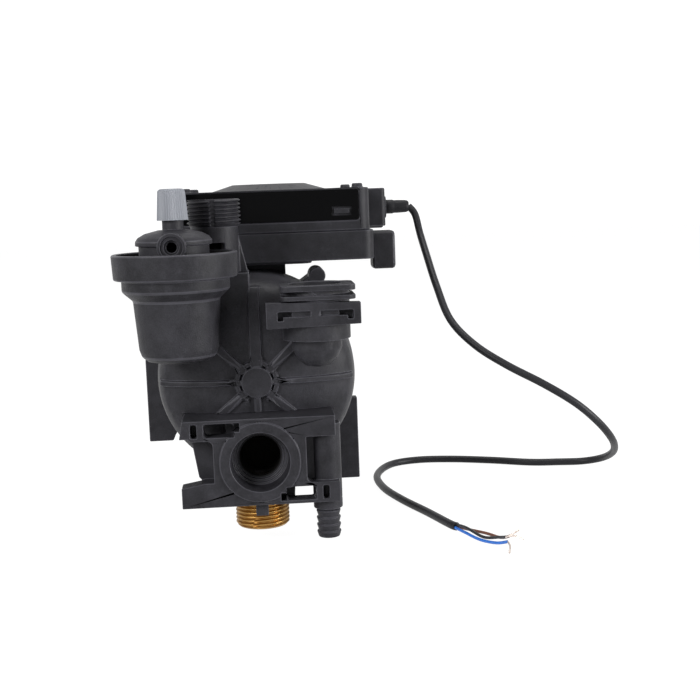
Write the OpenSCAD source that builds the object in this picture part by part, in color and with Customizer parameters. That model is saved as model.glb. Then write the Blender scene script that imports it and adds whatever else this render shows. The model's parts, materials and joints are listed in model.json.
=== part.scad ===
// Circulation pump of a wall-hung heating boiler, with its moulded hydraulic housing, air vent,
// control box and signal lead. Millimetres.
// The origin is the centre of the return nipple's lower face. +Z is up, and the horizontal port,
// which is the front, looks along -Y.

/* [Return nipple] */
// outside radius over the thread of the brass nipple
nipple_r = 13.22; // [12.9:0.02:13.6]
// length of the nipple below the port block
nipple_reach = 14; // [12:0.5:18]
// radius of the water way through the nipple
nipple_bore_r = 10; // [8:0.25:10.5]
// height of the nipple's plain tail inside the port block
nipple_tail = 6; // [5.6:0.1:6.4]

/* [Port block] */
// half the width of the port block
block_half_w = 38; // [36:0.5:41]
// height of the port block
block_h = 42.3; // [41:0.1:44]
// from the nipple's axis forward to the front face of the block
block_front = 20; // [19:0.5:22]
// from the nipple's axis back to the rear edge of the block's top shelf
shelf_rear = 4; // [3:0.5:6]
// depth of the block's front frame
frame_depth = 10; // [8:0.5:11]
// radius of the horizontal port socket
port_r = 13.7; // [13:0.1:14.5]
// depth of the port socket
port_depth = 11; // [10:0.5:12]
// radius of the throat behind the port socket
throat_r = 9.9; // [8:0.05:10.3]
// outside radius of the boss round the port
port_boss_r = 19.3; // [18.5:0.1:20]
// height of the block's arms and of its foot
arm_h = 10; // [9:0.1:10.5]
// length of the long bracket slots
slot_w = 17; // [14:0.5:18]
// height of the bracket slots
slot_h = 6.6; // [5:0.1:7]
// width of the short bracket slots
short_slot_w = 3; // [2:0.1:3.2]

/* [Volute housing] */
// height of the pump's axis above the nipple's lower face
pump_z = 71.3; // [70:0.1:73]
// outside radius of the round housing
dome_r = 50.4; // [49:0.1:51.5]
// depth of the domed front cover, from its crown to its joint
dome_depth = 43; // [40:0.5:46]
// depth of the volute body behind the cover
volute_depth = 30; // [28:0.5:32]
// general wall thickness of the mouldings
wall = 3; // [2.4:0.1:3.4]
// radius of the boss at the centre of the star of ribs
star_r = 7.6; // [7:0.1:8.5]
// width of the thick upright rib
main_rib_w = 5.6; // [4.5:0.1:6.5]
// width of the slanting ribs
rib_w = 3.6; // [2.5:0.1:4]
// how far the ribs stand out of the dome
rib_h = 1.8; // [1:0.1:2.5]
// distance of the flange screws outside the round housing
screw_out = 7.6; // [7.2:0.1:8]
// angle of the upper flange screws above the level of the pump's axis
screw_angle = 54; // [52:0.5:55]
// angle of the lower flange screws below the level of the pump's axis
low_screw_angle = 66; // [62:0.5:68]

/* [Rear brackets] */
// height of the rear brackets
bracket_h = 45; // [38:0.5:48]
// width of the left rear bracket
left_bracket_w = 12.8; // [12:0.2:13]
// width of the right rear bracket
right_bracket_w = 10; // [8:0.5:12]
// depth of the rear brackets behind their ears
bracket_depth = 16; // [12:0.5:20]
// how far the left bracket stands out past the round housing
left_bracket_out = 9.4; // [8.8:0.2:10.6]
// from the pump's axis down to the left bracket's lower edge
left_bracket_drop = 40.3; // [38:0.1:42]
// how far the right bracket stands out past the round housing
right_bracket_out = 3.4; // [3:0.1:5]
// from the pump's axis down to the right bracket's lower edge
right_bracket_drop = 66; // [64:0.5:68]

/* [Air vent] */
// distance of the vent's axis to the left of the nipple's axis
vent_x = 35.8; // [35:0.1:38]
// distance of the vent's axis in front of the nipple's axis
vent_y = 14; // [13.5:0.1:16]
// height of the collar's lower edge above the round housing
collar_lift = 2.6; // [2.1:0.1:3.1]
// height of the step below the collar
step_h = 5.5; // [5:0.1:6]
// height of the taper between the step and the cup
taper_h = 4.4; // [4:0.1:5]
// outside radius of the chamber's collar
collar_r = 29.6; // [29:0.1:30.5]
// height of the collar
collar_h = 12; // [11:0.5:14]
// outside radius of the step below the collar
step_r = 25.4; // [24.5:0.1:25.6]
// outside radius of the cup at its top
cup_r = 20.5; // [19.5:0.1:21]
// height of the cup below the step
cup_h = 35; // [33:0.5:37]
// radius of the vent head's lip
head_r = 18; // [17:0.1:18.6]
// radius of the front outlet boss of the head
outlet_r = 6.6; // [5.5:0.1:7]
// radius of the head's neck
neck_r = 5; // [4:0.1:5.5]
// radius of the cap at its lower edge
cap_r = 7.35; // [6.8:0.05:7.8]
// height of the cap
cap_h = 14.6; // [12:0.2:16]
// radius of the float
float_r = 13.5; // [12:0.5:14]

/* [Vessel spigot] */
// outside radius over the spigot's thread
spigot_r = 13.22; // [12.9:0.02:13.6]
// height of the spigot's neck, from its pad to the thread
spigot_neck_h = 22.9; // [22:0.1:24]
// height of the threaded length
spigot_thread = 13.2; // [12:0.1:14]
// distance of the spigot's axis to the left of the nipple's axis
spigot_x = 17.6; // [16.5:0.1:18]
// distance of the spigot's axis behind the nipple's axis
spigot_y = 15; // [14:0.1:17]
// radius of the bore through the spigot
spigot_bore_r = 9; // [7:0.25:10]

/* [Clip socket] */
// distance of the socket's axis to the right of the nipple's axis
socket_x = 29.6; // [28.5:0.1:31]
// distance of the socket's axis in front of the nipple's axis
socket_y = 13.5; // [13.5:0.1:15]
// height of the socket's rim above the pump's axis
socket_lift = 48; // [47:0.1:49]
// height of the clip plate's lower edge above the pump's axis
clip_plate_lift = 28.6; // [28:0.1:29.2]
// height of the barrel's lower edge above the pump's axis
barrel_lift = 21.6; // [21:0.1:22.2]
// outside radius of the socket's rim plates
rim_r = 17.9; // [17.5:0.1:18.5]
// outside radius of the socket's barrel
barrel_r = 16.3; // [15.8:0.1:16.5]
// radius of the socket's bore
socket_bore_r = 12.5; // [10:0.1:13]
// depth of the socket's bore
socket_depth = 20; // [16:0.5:22]
// width of the clip plate
clip_plate_w = 44.2; // [42:0.2:46]
// height of the clip plate
clip_plate_h = 12; // [10:0.2:13]

/* [Drain] */
// from the block's right side in to the drain's axis
drain_in = 5.8; // [5:0.1:6.5]
// distance of the drain's axis in front of the nipple's axis
drain_y = 10; // [9:0.1:11]
// radius of the barbs on the drain tail
barb_r = 5.9; // [5:0.1:6.4]
// length of the barbed part
barb_len = 14; // [12:0.5:15]

/* [Pump rotor] */
// radius of the impeller
impeller_r = 30; // [26:0.5:34]
// radius of the shaft
shaft_r = 3; // [2.5:0.1:3.5]
// radius of the rotor
rotor_r = 16; // [14:0.5:17]
// length of the rotor
rotor_len = 36; // [30:0.5:38]

/* [Motor] */
// how far the motor housing stays inside the round housing
motor_in = 3.9; // [3:0.1:5]
// length of the motor housing behind its flange
motor_len = 46; // [44:0.5:52]

/* [Control box] */
// left side of the box, from the nipple's axis
box_left = 41; // [39:0.5:43]
// right side of the box, from the nipple's axis
box_right = 62.5; // [60:0.5:64]
// front of the box, from the nipple's axis
box_front = 45; // [43:0.5:48]
// depth of the box, front to back
box_depth = 105; // [98:0.5:110]
// height of the joint of the box above the lower edge of the vent's collar
box_lift = 17.5; // [17:0.1:18]
// height of the tub
tub_h = 15.4; // [14:0.1:17]
// height of the cover
cover_h = 22.1; // [20:0.1:24]
// height of the matt band under the glossy panel
band_h = 5.4; // [4:0.1:6]
// radius of the round bump on the cover
bump_r = 30.6; // [28:0.2:32]
// width of the connector housing on the side
connector_w = 14.2; // [12:0.2:16]
// from the back of the box forward to the cable gland's axis
gland_in = 20; // [18:0.5:22]
// from the top of the cover down to the cable gland's axis
gland_drop = 11.8; // [11:0.1:12.5]
// from the front of the box back to the blanking plug's axis
plug_set = 25; // [22:0.5:30]
// width of the blanking plug
plug_w = 12.4; // [11:0.2:14]
// height of the blanking plug
plug_h = 20.4; // [19:0.2:22]
// length of the cable gland
gland_len = 13.8; // [10:0.2:16]
// radius of the cable gland
gland_r = 4.1; // [3.6:0.1:4.4]

/* [Lead] */
// outside radius of the black sheath
lead_r = 2.15; // [1.8:0.05:2.4]
// outside radius of each insulated core
core_r = 0.75; // [0.5:0.05:0.8]

/* [Fits] */
// radial running clearance of the parts that turn or slide
running = 0.06; // [0.02:0.01:0.1]
// radial clearance of the parts that are set in
set_gap = 0.1; // [0.05:0.01:0.12]
// clearance between flat faces of parts that move
face_gap = 0.15; // [0.1:0.05:0.3]

/* [Hidden] */

// heights of the port block
block_bottom = nipple_reach;
block_top = nipple_reach + block_h;
port_z = nipple_reach + block_h / 2;
// half the width of the well that holds the nipple, and the nipple's plain tail
tail_r = nipple_r - 0.055 * nipple_r;
well_half = nipple_r + wall;
boss_proud = wall / 3;
throat_y = port_depth - block_front + 1.2 * wall;
throat_back = 3.4 * wall;
riser_r = throat_r - 1.4 * wall;
riser_y = 0.9 * wall;
panel_w = block_half_w - 1.7 * wall;
slot_x = block_half_w - 3.9 * wall;
short_slot_x = block_half_w - 2.3 * wall;
slot_z = block_h / 2 - arm_h / 2;
column_r = barb_r + 0.4 * wall;
drain_x = block_half_w - drain_in;

// stations along the pump's axis
crown_y = -wall;
joint_y = crown_y + dome_depth;
volute_back = joint_y + volute_depth;
chamber_r = dome_r - 2.1 * wall;
plate_t = 0.8 * wall;
eye_y = joint_y + plate_t;
plate_y = volute_back - 4 * wall;
can_t = 0.2 * wall;
can_y = plate_y + plate_t;
gasket_t = 0.7 * wall;
gasket_y = can_y + can_t;
nose_y = gasket_y + gasket_t;
flange_t = 2 * wall;
flange_back = volute_back + flange_t;
motor_back = flange_back + motor_len;
motor_r = dome_r - motor_in;
lug_r = 1.45 * wall;
screw_r = 0.8 * wall;
screw_hole_r = screw_r + set_gap;
bearing_len = 3.2 * wall;
bearing_r = 2 * shaft_r;
bearing_y = plate_y - wall;
impeller_y = eye_y + wall / 3;
impeller_back = bearing_y - 2 * face_gap;
rotor_y = bearing_y + bearing_len + 1.2 * wall;
rotor_back = rotor_y + rotor_len;
rear_bearing_y = rotor_back + wall / 3;
can_back = rear_bearing_y + 2.4 * wall;
can_r = rotor_r + 0.25 * wall;
stator_y = rotor_y + 0.14 * rotor_len;
stator_len = 0.72 * rotor_len;
stator_r = motor_r - wall - set_gap;
coil_out = 0.36 * rotor_len / 2;

// heights and stations of the air vent
collar_z = pump_z + dome_r + collar_lift;
vent_centre = [-vent_x, -vent_y, 0];
vent_top = collar_z + collar_h;
step_z = collar_z - step_h;
cup_z = step_z - taper_h;
cup_bottom = cup_z - 0.86 * cup_h;
head_seat = collar_z - wall;
head_floor = collar_z + wall;
head_base_r = step_r - 1.35 * wall;
lip_z = vent_top + 1.2 * wall;
lip_top = lip_z + wall;
head_top = lip_top + 1.35 * wall;
cap_z = head_top + 1.5 * wall;
neck_top = cap_z + 0.86 * cap_h;
float_z = cup_bottom + 1.15 * wall + face_gap;
float_h = 8 * wall;
rod_top = float_z + float_h + 2.5 * wall;
lever_z = rod_top + 2 * face_gap;
pivot_x = 3 * wall;
pivot_z = lever_z + wall / 4;
outlet_z = collar_z + 5 * wall;

// heights of the spigot and the clip socket
pad_z = collar_z;
spigot_z = pad_z + spigot_neck_h;
spigot_top = spigot_z + spigot_thread;
spigot_neck_r = spigot_r - 0.53 * wall;
socket_top = pump_z + socket_lift;
clip_plate_z = pump_z + clip_plate_lift;
barrel_z = pump_z + barrel_lift;
bowl_r = socket_bore_r - 0.15 * wall;
pad_y = 1.1 * wall;
seat_gap = 2 * face_gap;

// the drain
drain_seat = block_bottom - face_gap;
drain_bottom = drain_seat - 1.75 * wall - barb_len;
spindle_r = barb_r - 0.35 * wall;
spindle_top = block_bottom + 5 * wall;

// the control box
cover_z = collar_z + box_lift;
tub_z = cover_z - tub_h;
keel_z = tub_z - wall / 2;
band_top = cover_z + band_h;
cover_top = cover_z + cover_h;
box_back = box_front + box_depth;
box_mid = (box_right - box_left) / 2;
box_wall = 0.85 * wall;
corner_r = 2 * wall;
panel_t = 0.45 * wall;
board_z = cover_z + 1.4 * wall;
board_t = 0.55 * wall;
saddle_z = keel_z;
saddle_half = 6 * wall;
pillar_in = 1.3 * wall;
gland_y = box_back - gland_in;
gland_z = cover_top - gland_drop;
side_x = box_right + connector_w;
plug_y = box_front + plug_set;
plug_z = cover_z - 3 * wall;
plug_d = 5.4 * wall;
tub_right = box_right + 0.7 * wall;
ear_t = 2 * wall;
left_bracket_x = -dome_r - left_bracket_out;
left_bracket_z = pump_z - left_bracket_drop;
right_bracket_x = dome_r + right_bracket_out;
right_bracket_z = pump_z - right_bracket_drop;

// route of the lead from the gland's end to the cut end of its sheath
lead_start = [side_x + 0.9 * wall + gland_len, gland_y, gland_z];
lead_points = [lead_start, [97, 129.5, 147], [99, 125, 136], [101, 112, 123], [103.5, 94, 107],
    [108.5, 78, 89], [119.5, 64, 76], [135, 54, 65.5], [154, 49, 55], [171, 47, 44],
    [184, 50, 32.5], [194, 60, 21.5], [201, 77, 12], [204, 94, 4.5], [202, 109, -1.5],
    [193, 117, -4.6], [179, 119, -4.8],
    [162, 122, -4.8], [140, 133, -4.8], [116, 142, -4.8], [95, 144, -4.8], [78, 135, -4.8],
    [67.5, 109, -4.8], [68, 79, -4.8], [75, 50, -4.8], [85, 21, -4.8], [93, -4, -4.8],
    [95.5, -9, -4.8]];
lead_end = lead_points[len(lead_points) - 1];
blue_points = [lead_end + [-0.7, -0.56, -0.45], [98, -18, -5.4], [103.5, -30, -6], [109.5, -40, -5],
    [114, -44, -3.5]];
brown_points = [lead_end + [0.7, 0.56, -0.45], [101, -17, -4.6], [107, -28, -3.6], [112, -37, -3.4],
    [115, -42, -1.5]];
black_points = [lead_end + [0, 0, 0.9], [99.2, -17.6, -3.4], [105.2, -29.6, -4.9], [111, -39, -2.6],
    [113, -44, -1.2]];
blue_tip = [[114, -44, -3.5], [114, -49, -4], [112.5, -55, -5.5]];
brown_tip = [[115, -42, -1.5], [118, -44, -1], [121, -46.5, -2]];
black_tip = [[113, -44, -1.2], [115.5, -46, 0.5], [119, -46, 2.5]];

plastic = [0.09, 0.09, 0.095];
matt = [0.07, 0.07, 0.075];
gloss = [0.02, 0.02, 0.022];
brass = [0.72, 0.53, 0.25];
steel = [0.62, 0.62, 0.63];
rubber = [0.05, 0.05, 0.05];
grey = [0.66, 0.68, 0.71];
copper = [0.72, 0.4, 0.24];
green = [0.08, 0.28, 0.14];
ceramic = [0.86, 0.85, 0.82];

$fn = 96;

// where the upper (1) and lower (-1) flange screws stand, from the pump's axis
function hole_x(row) = (dome_r + screw_out) * cos(row > 0 ? screw_angle : low_screw_angle);
function hole_z(row) = (dome_r + screw_out) * sin(row > 0 ? screw_angle : low_screw_angle);

module box(x0, x1, y0, y1, z0, z1) {
    translate([x0, y0, z0])
        cube([x1 - x0, y1 - y0, z1 - z0]);
}

// a flat outline drawn in X and Z, made solid from y0 to y1
module xz(y0, y1) {
    translate([0, y1, 0])
        rotate([90, 0, 0])
            linear_extrude(y1 - y0)
                children();
}

// a flat outline drawn in X and Y, made solid from z0 to z1
module xy(z0, z1) {
    translate([0, 0, z0])
        linear_extrude(z1 - z0)
            children();
}

// a cylinder along Y at a place in X and Z
module rod_y(x, z, y0, y1, r) {
    translate([x, y0, z])
        rotate([-90, 0, 0])
            cylinder(h = y1 - y0, r = r);
}

// a cylinder along X at a place in Y and Z
module rod_x(y, z, x0, x1, r) {
    translate([x0, y, z])
        rotate([0, 90, 0])
            cylinder(h = x1 - x0, r = r);
}

// a cylinder along Z at a place in X and Y
module rod_z(x, y, z0, z1, r) {
    translate([x, y, z0])
        cylinder(h = z1 - z0, r = r);
}

// a turned shape round the pump's axis, drawn as radius and station along Y
module turned(points) {
    translate([0, 0, pump_z])
        rotate([-90, 0, 0])
            rotate_extrude()
                polygon(points);
}

// a rectangle with round corners
module round_rect(x0, x1, y0, y1, r) {
    translate([x0 + r, y0])
        square([x1 - x0 - 2 * r, y1 - y0]);
    translate([x0, y0 + r])
        square([x1 - x0, y1 - y0 - 2 * r]);
    for (p = [[x0 + r, y0 + r], [x1 - r, y0 + r], [x0 + r, y1 - r], [x1 - r, y1 - r]])
        translate(p)
            circle(r);
}

// a ring of plain section round a vertical axis
module ring_z(centre, r_in, r_out, z0, z1) {
    translate([centre[0], centre[1], z0])
        difference() {
            cylinder(h = z1 - z0, r = r_out);
            translate([0, 0, -wall])
                cylinder(h = z1 - z0 + 2 * wall, r = r_in);
        }
}

// outline of the round housing's front: share of the radius and share of the depth
dome_shares = [[0, 0], [0.4, 0.02], [0.65, 0.085], [0.81, 0.165], [0.9, 0.24], [0.955, 0.36],
    [0.987, 0.55], [1, 0.82]];

function dome_points(grow) =
    [for (s = dome_shares) [s[0] * (dome_r + grow), crown_y - grow + s[1] * (dome_depth + grow)]];

module dome_solid(grow) {
    turned(concat(dome_points(grow), [[dome_r + grow, joint_y], [0, joint_y]]));
}

// one rib of the star, running outwards at an angle from the centre, to a given radius
module star_rib(angle, width, reach) {
    translate([0, crown_y - 2 * rib_h, pump_z])
        rotate([0, -angle, 0])
            translate([0, 0, -width / 2])
                cube([reach, dome_depth, width]);
}

module star() {
    intersection() {
        dome_solid(rib_h);
        box(-2 * dome_r, 2 * dome_r, crown_y - 2 * rib_h, joint_y, block_top, pump_z + dome_r);
        union() {
            star_rib(90, main_rib_w, 0.91 * dome_r);
            star_rib(137, rib_w, 0.6 * dome_r);
            star_rib(43, rib_w, 0.54 * dome_r);
            star_rib(180, 0.75 * rib_w, 0.95 * dome_r);
            star_rib(0, 0.75 * rib_w, 0.95 * dome_r);
            star_rib(220, rib_w, 0.5 * dome_r);
            star_rib(-43, rib_w, 0.5 * dome_r);
            star_rib(270, 0.75 * rib_w, 0.5 * dome_r);
        }
    }
}

// everything of the round housing that the port block takes the place of
module block_space() {
    box(-2 * dome_r, 2 * dome_r, -2 * block_front, shelf_rear, block_top - wall, block_top);
    box(-well_half, well_half, -2 * block_front, well_half, -wall, block_top);
}

// The domed front cover of the pump: a moulded shell with a boss and a star of ribs, flat pads for
// the vent chamber, the clip socket and the spigot, and a notch that takes the port block.
module dome_cover() {
    color(plastic)
        difference() {
            union() {
                dome_solid(0);
                star();
                rod_y(0, pump_z, crown_y - 1.3 * rib_h, joint_y - wall, star_r);
                difference() {
                    rod_y(0, pump_z, crown_y - 0.75 * rib_h, joint_y - wall, 1.4 * star_r);
                    rod_y(0, pump_z, -dome_depth, crown_y + wall / 2, 1.12 * star_r);
                    box(-0.6 * star_r, 0.6 * star_r, -dome_depth, crown_y + wall / 2, block_top,
                        pump_z - star_r);
                }
                vent_pad();
                socket_pad();
                spigot_pad();
            }
            translate(vent_centre)
                rotate_extrude()
                    polygon([[0, cup_bottom - seat_gap], [0.78 * cup_r, cup_bottom - seat_gap],
                        [0.93 * cup_r + seat_gap, cup_bottom + 1.6 * wall], [cup_r + seat_gap, cup_z],
                        [step_r + seat_gap, step_z], [step_r + seat_gap, pad_z + wall],
                        [0, pad_z + wall]]);
            rod_z(socket_x, -socket_y, barrel_z - seat_gap, socket_top, barrel_r + seat_gap);
            box(socket_x - 3 * wall - seat_gap, socket_x + 2 * wall + seat_gap, -socket_y, pad_y,
                barrel_z - seat_gap, socket_top - 2.4 * wall + seat_gap);
            turned([[0, crown_y + wall], [0.62 * dome_r, shelf_rear + wall / 2],
                [chamber_r - wall, 0.4 * dome_depth], [dome_r - wall, 0.7 * dome_depth],
                [dome_r - wall, joint_y + wall], [0, joint_y + wall]]);
            block_space();
            rod_z(-spigot_x, spigot_y, pump_z + dome_r / 2, pad_z + wall, spigot_bore_r);
            rod_y(-vent_x + 4 * wall, cup_z - 2 * wall, -wall, joint_y / 2, wall);
            rod_y(socket_x - wall, barrel_z + wall, -2 * wall, joint_y / 2, wall);
        }
}

module vent_pad() {
    box(-vent_x + wall, -vent_x + 6.1 * wall, 0, 4 * wall, cup_bottom + 3 * wall, cup_z);
}

module socket_pad() {
    box(socket_x - 3 * wall, socket_x + 2 * wall, pad_y, 7 * wall, barrel_z - wall,
        socket_top - 2.4 * wall);
}

module spigot_pad() {
    difference() {
        box(-spigot_x - 3.7 * wall, -spigot_x + 5.3 * wall, shelf_rear, joint_y - 3 * wall,
            pump_z + 0.72 * dome_r, pad_z);
        translate(vent_centre)
            cylinder(h = pad_z, r = step_r + set_gap);
        box(-dome_r, -vent_x + 3 * wall, -dome_r, shelf_rear + 2 * wall, pump_z, pad_z - 4 * wall);
    }
}

// The volute body behind the cover: the round pump chamber, the lugs that take the motor's screws
// and the two ears that carry the rear brackets.
module volute_body() {
    color(plastic)
        difference() {
            union() {
                turned([[0, joint_y], [dome_r, joint_y], [dome_r, volute_back], [0, volute_back]]);
                for (sx = [-1, 1], sz = [-1, 1])
                    screw_lug(sx, sz);
                xz(volute_back - ear_t, volute_back)
                    translate([left_bracket_x, left_bracket_z])
                        polygon([[0, 0], [left_bracket_w, 0], [1.1 * left_bracket_w, wall],
                            [1.7 * left_bracket_w, 5 * wall], [1.7 * left_bracket_w, bracket_h],
                            [0, bracket_h]]);
                box(right_bracket_x - 2.4 * right_bracket_w, right_bracket_x, volute_back - ear_t,
                    volute_back, right_bracket_z, right_bracket_z + bracket_h);
            }
            turned([[0, joint_y - wall], [dome_r - 0.75 * wall, joint_y - wall],
                [dome_r - 0.75 * wall, eye_y], [chamber_r, eye_y], [chamber_r, plate_y],
                [chamber_r + 0.6 * wall, plate_y], [chamber_r + 0.6 * wall, volute_back + wall],
                [0, volute_back + wall]]);
            for (sx = [-1, 1], sz = [-1, 1])
                rod_y(sx * hole_x(sz), pump_z + sz * hole_z(sz), volute_back - 5 * wall,
                    volute_back + wall, screw_hole_r);
        }
}

module screw_lug(sx, sz) {
    x = sx * hole_x(sz);
    z = pump_z + sz * hole_z(sz);
    rod_y(x, z, volute_back - 6 * wall, volute_back, lug_r);
    xz(volute_back - 6 * wall, volute_back)
        polygon([[x - sx * 2.4 * lug_r, z - sz * lug_r], [x - sx * lug_r, z],
            [x, z - sz * lug_r], [x - sx * lug_r, z - sz * 3 * lug_r],
            [x - sx * 2.4 * lug_r, z - sz * 3 * lug_r]]);
}

// outline of the front frame of the port block, with the port at its centre
module frame_outline() {
    translate([0, port_z]) {
        circle(port_boss_r);
        for (turn = [0, 180])
            rotate(turn) {
                polygon([[-block_half_w, block_h / 2 - arm_h + 0.45 * wall],
                    [-block_half_w + wall / 2, block_h / 2], [0, block_h / 2],
                    [0, block_h / 2 - arm_h], [-panel_w, block_h / 2 - arm_h],
                    [-panel_w - wall / 3, block_h / 2 - arm_h + 0.45 * wall]]);
                polygon([[-port_boss_r - wall, -block_h / 2], [-port_boss_r - wall, block_h / 2],
                    [-port_boss_r + wall, block_h / 2], [-port_boss_r + wall, -block_h / 2]]);
                translate([-port_boss_r - 1.9 * wall, block_h / 2 - arm_h - 0.9 * wall])
                    difference() {
                        square([wall, wall]);
                        circle(0.9 * wall);
                    }
            }
        polygon([[-block_half_w, -block_h / 2], [-block_half_w, -block_h / 2 + arm_h],
            [-port_boss_r - 2.4 * wall, -block_h / 2 + 1.2 * arm_h], [0, -block_h / 2 + 1.2 * arm_h],
            [0, -block_h / 2]]);
        polygon([[0, block_h / 2], [block_half_w - wall / 2, block_h / 2],
            [block_half_w - wall / 2, block_h / 2 - arm_h], [0, block_h / 2 - arm_h]]);
        translate([panel_w, -block_h / 2])
            square([block_half_w - panel_w, arm_h]);
    }
}

module panel_outline() {
    translate([0, port_z])
        polygon([[-panel_w, block_h / 2 - arm_h + wall / 4], [-panel_w, block_h / 2 - arm_h],
            [-panel_w + wall, -block_h / 2 + arm_h + wall],
            [-port_boss_r - 2.4 * wall, -block_h / 2 + arm_h - wall / 4],
            [block_half_w - wall, -block_h / 2 + arm_h - wall / 4],
            [block_half_w - wall, block_h / 2 - arm_h + wall / 4]]);
}

// The port block: front frame with its arms, foot, pockets and slots, the stepped port socket, the
// well that holds the return nipple, the shelf along the top and the column of the drain.
module port_block() {
    color(plastic)
        difference() {
            union() {
                xz(-block_front, -block_front + frame_depth)
                    frame_outline();
                xz(-block_front + frame_depth, -block_front + frame_depth + wall)
                    panel_outline();
                box(-block_half_w + wall / 2, block_half_w - wall / 2,
                    -block_front + frame_depth / 2, shelf_rear, block_top - wall, block_top);
                rod_y(0, port_z, -block_front - boss_proud, 0, port_boss_r);
                box(-well_half, well_half, -block_front + frame_depth / 2, well_half, block_bottom,
                    block_top);
                intersection() {
                    rod_z(drain_x, -drain_y, block_bottom, block_top - arm_h / 2, column_r);
                    box(0, 2 * block_half_w, -block_front, block_front, 0, block_top);
                }
            }
            port_hollow();
            rod_z(0, 0, block_bottom - wall, block_bottom + nipple_tail + wall / 6,
                tail_r + set_gap);
            rod_z(0, riser_y, block_bottom, block_top - wall, riser_r);
            box(-2 * wall, 2 * wall, 0, 2 * well_half, block_top - 5 * wall, block_top - wall);
            bracket_slots();
            rod_z(drain_x, -drain_y, block_bottom - wall, spindle_top + face_gap,
                spindle_r + running);
            tongue_shape(0);
        }
}

module port_hollow() {
    translate([0, 0, port_z])
        rotate([-90, 0, 0])
            rotate_extrude()
                polygon([[0, -block_front - wall], [port_r + wall / 5, -block_front - wall],
                    [port_r + wall / 5, -block_front], [port_r, -block_front + wall / 3],
                    [port_r, -block_front + port_depth],
                    [port_r - 0.4 * wall, -block_front + port_depth],
                    [port_r - 0.4 * wall, throat_y - 0.6 * wall],
                    [port_r - 0.85 * wall, throat_y - 0.6 * wall],
                    [port_r - 0.85 * wall, throat_y], [throat_r, throat_y],
                    [throat_r, throat_back], [0, throat_back]]);
}

module bracket_slots() {
    back = -block_front + frame_depth + face_gap;
    for (turn = [0, 180])
        translate([0, 0, port_z])
            rotate([0, turn, 0])
                translate([0, 0, slot_z]) {
                    box(-slot_x, -slot_x + slot_w, -2 * block_front, back, -0.1 * slot_h,
                        slot_h / 2);
                    box(-slot_x, -slot_x + 0.85 * slot_w, -2 * block_front, back, -slot_h / 2,
                        slot_h / 2);
                    box(-short_slot_x - short_slot_w / 2, -short_slot_x + short_slot_w / 2,
                        -2 * block_front, back - wall / 2, -slot_h / 2, slot_h / 2);
                }
}

// The moulded chamber of the automatic air vent: collar, step and cup, closed at the bottom, with the
// web that joins it to the pump's cover.
module vent_chamber() {
    color(plastic)
        difference() {
            union() {
                translate(vent_centre)
                    rotate_extrude()
                        polygon([[0, cup_bottom], [0.5 * cup_r, cup_bottom + 0.12 * wall],
                            [0.74 * cup_r, cup_bottom + 0.5 * wall],
                            [0.86 * cup_r, cup_bottom + 1.15 * wall],
                            [0.915 * cup_r, cup_bottom + 2.3 * wall], [cup_r, cup_z],
                            [step_r, step_z], [step_r, collar_z], [collar_r - wall / 5, collar_z],
                            [collar_r, vent_top], [0, vent_top]]);
                intersection() {
                    box(-vent_x + wall, -vent_x + 6.1 * wall, -vent_y, 0, cup_bottom + 3 * wall,
                        cup_z);
                    box(-vent_x - dome_r, -vent_x + 7 * wall, -vent_y, 0, 0, vent_top);
                }
            }
            translate(vent_centre)
                rotate_extrude()
                    polygon([[0, cup_bottom + 1.15 * wall], [0.5 * cup_r, cup_bottom + 1.2 * wall],
                        [0.88 * cup_r - wall, cup_bottom + 4 * wall],
                        [cup_r - 0.9 * wall, cup_z + wall], [cup_r - 0.9 * wall, head_seat],
                        [head_base_r + set_gap, head_seat], [head_base_r + set_gap, head_floor],
                        [collar_r - 0.8 * wall, head_floor], [collar_r - 0.8 * wall, vent_top + wall],
                        [0, vent_top + wall]]);
            rod_y(-vent_x + 4 * wall, cup_z - 2 * wall, -vent_y, wall, wall);
        }
}

// The clip socket: a round upright socket with two rim plates, a plate with two L-shaped slots for a
// wire clip, and a rounded lower end.
module clip_socket() {
    color(plastic)
        difference() {
            union() {
                translate([socket_x, -socket_y, 0])
                    rotate_extrude()
                        polygon([[0, barrel_z - 1.15 * bowl_r],
                            [0.5 * bowl_r, barrel_z - 1.05 * bowl_r],
                            [0.82 * bowl_r, barrel_z - 0.75 * bowl_r],
                            [bowl_r, barrel_z - 0.35 * bowl_r], [bowl_r, barrel_z],
                            [barrel_r, barrel_z], [barrel_r, socket_top], [0, socket_top]]);
                rim_plate(socket_top - 2.3 * wall, socket_top - 1.6 * wall);
                rim_plate(socket_top - 0.9 * wall, socket_top);
                clip_plate();
                box(socket_x - 3 * wall, socket_x + 2 * wall, -socket_y, pad_y, barrel_z,
                    socket_top - 2.4 * wall);
            }
            rod_z(socket_x, -socket_y, socket_top - socket_depth, socket_top + wall,
                socket_bore_r);
            rod_y(socket_x - wall, barrel_z + wall + socket_depth / 4, -socket_y, wall, wall);
            for (side = [-1, 1])
                clip_slot(side);
        }
}

// one of the two plates that guide the clip, longer to the right
module rim_plate(z0, z1) {
    xy(z0, z1)
        round_rect(socket_x - 0.94 * rim_r, socket_x + 1.02 * rim_r, -socket_y - 0.97 * rim_r,
            -socket_y + 0.6 * rim_r, 1.3 * wall);
}

module clip_plate() {
    x0 = socket_x - 0.54 * clip_plate_w;
    x1 = socket_x + 0.46 * clip_plate_w;
    y0 = -socket_y - barrel_r - wall / 3;
    translate([0, 0, clip_plate_z])
        xz(y0, y0 + 2 * wall)
            polygon([[x0, 0], [x0, clip_plate_h], [x1, 0.92 * clip_plate_h],
                [x1, 0.08 * clip_plate_h]]);
}

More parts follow.
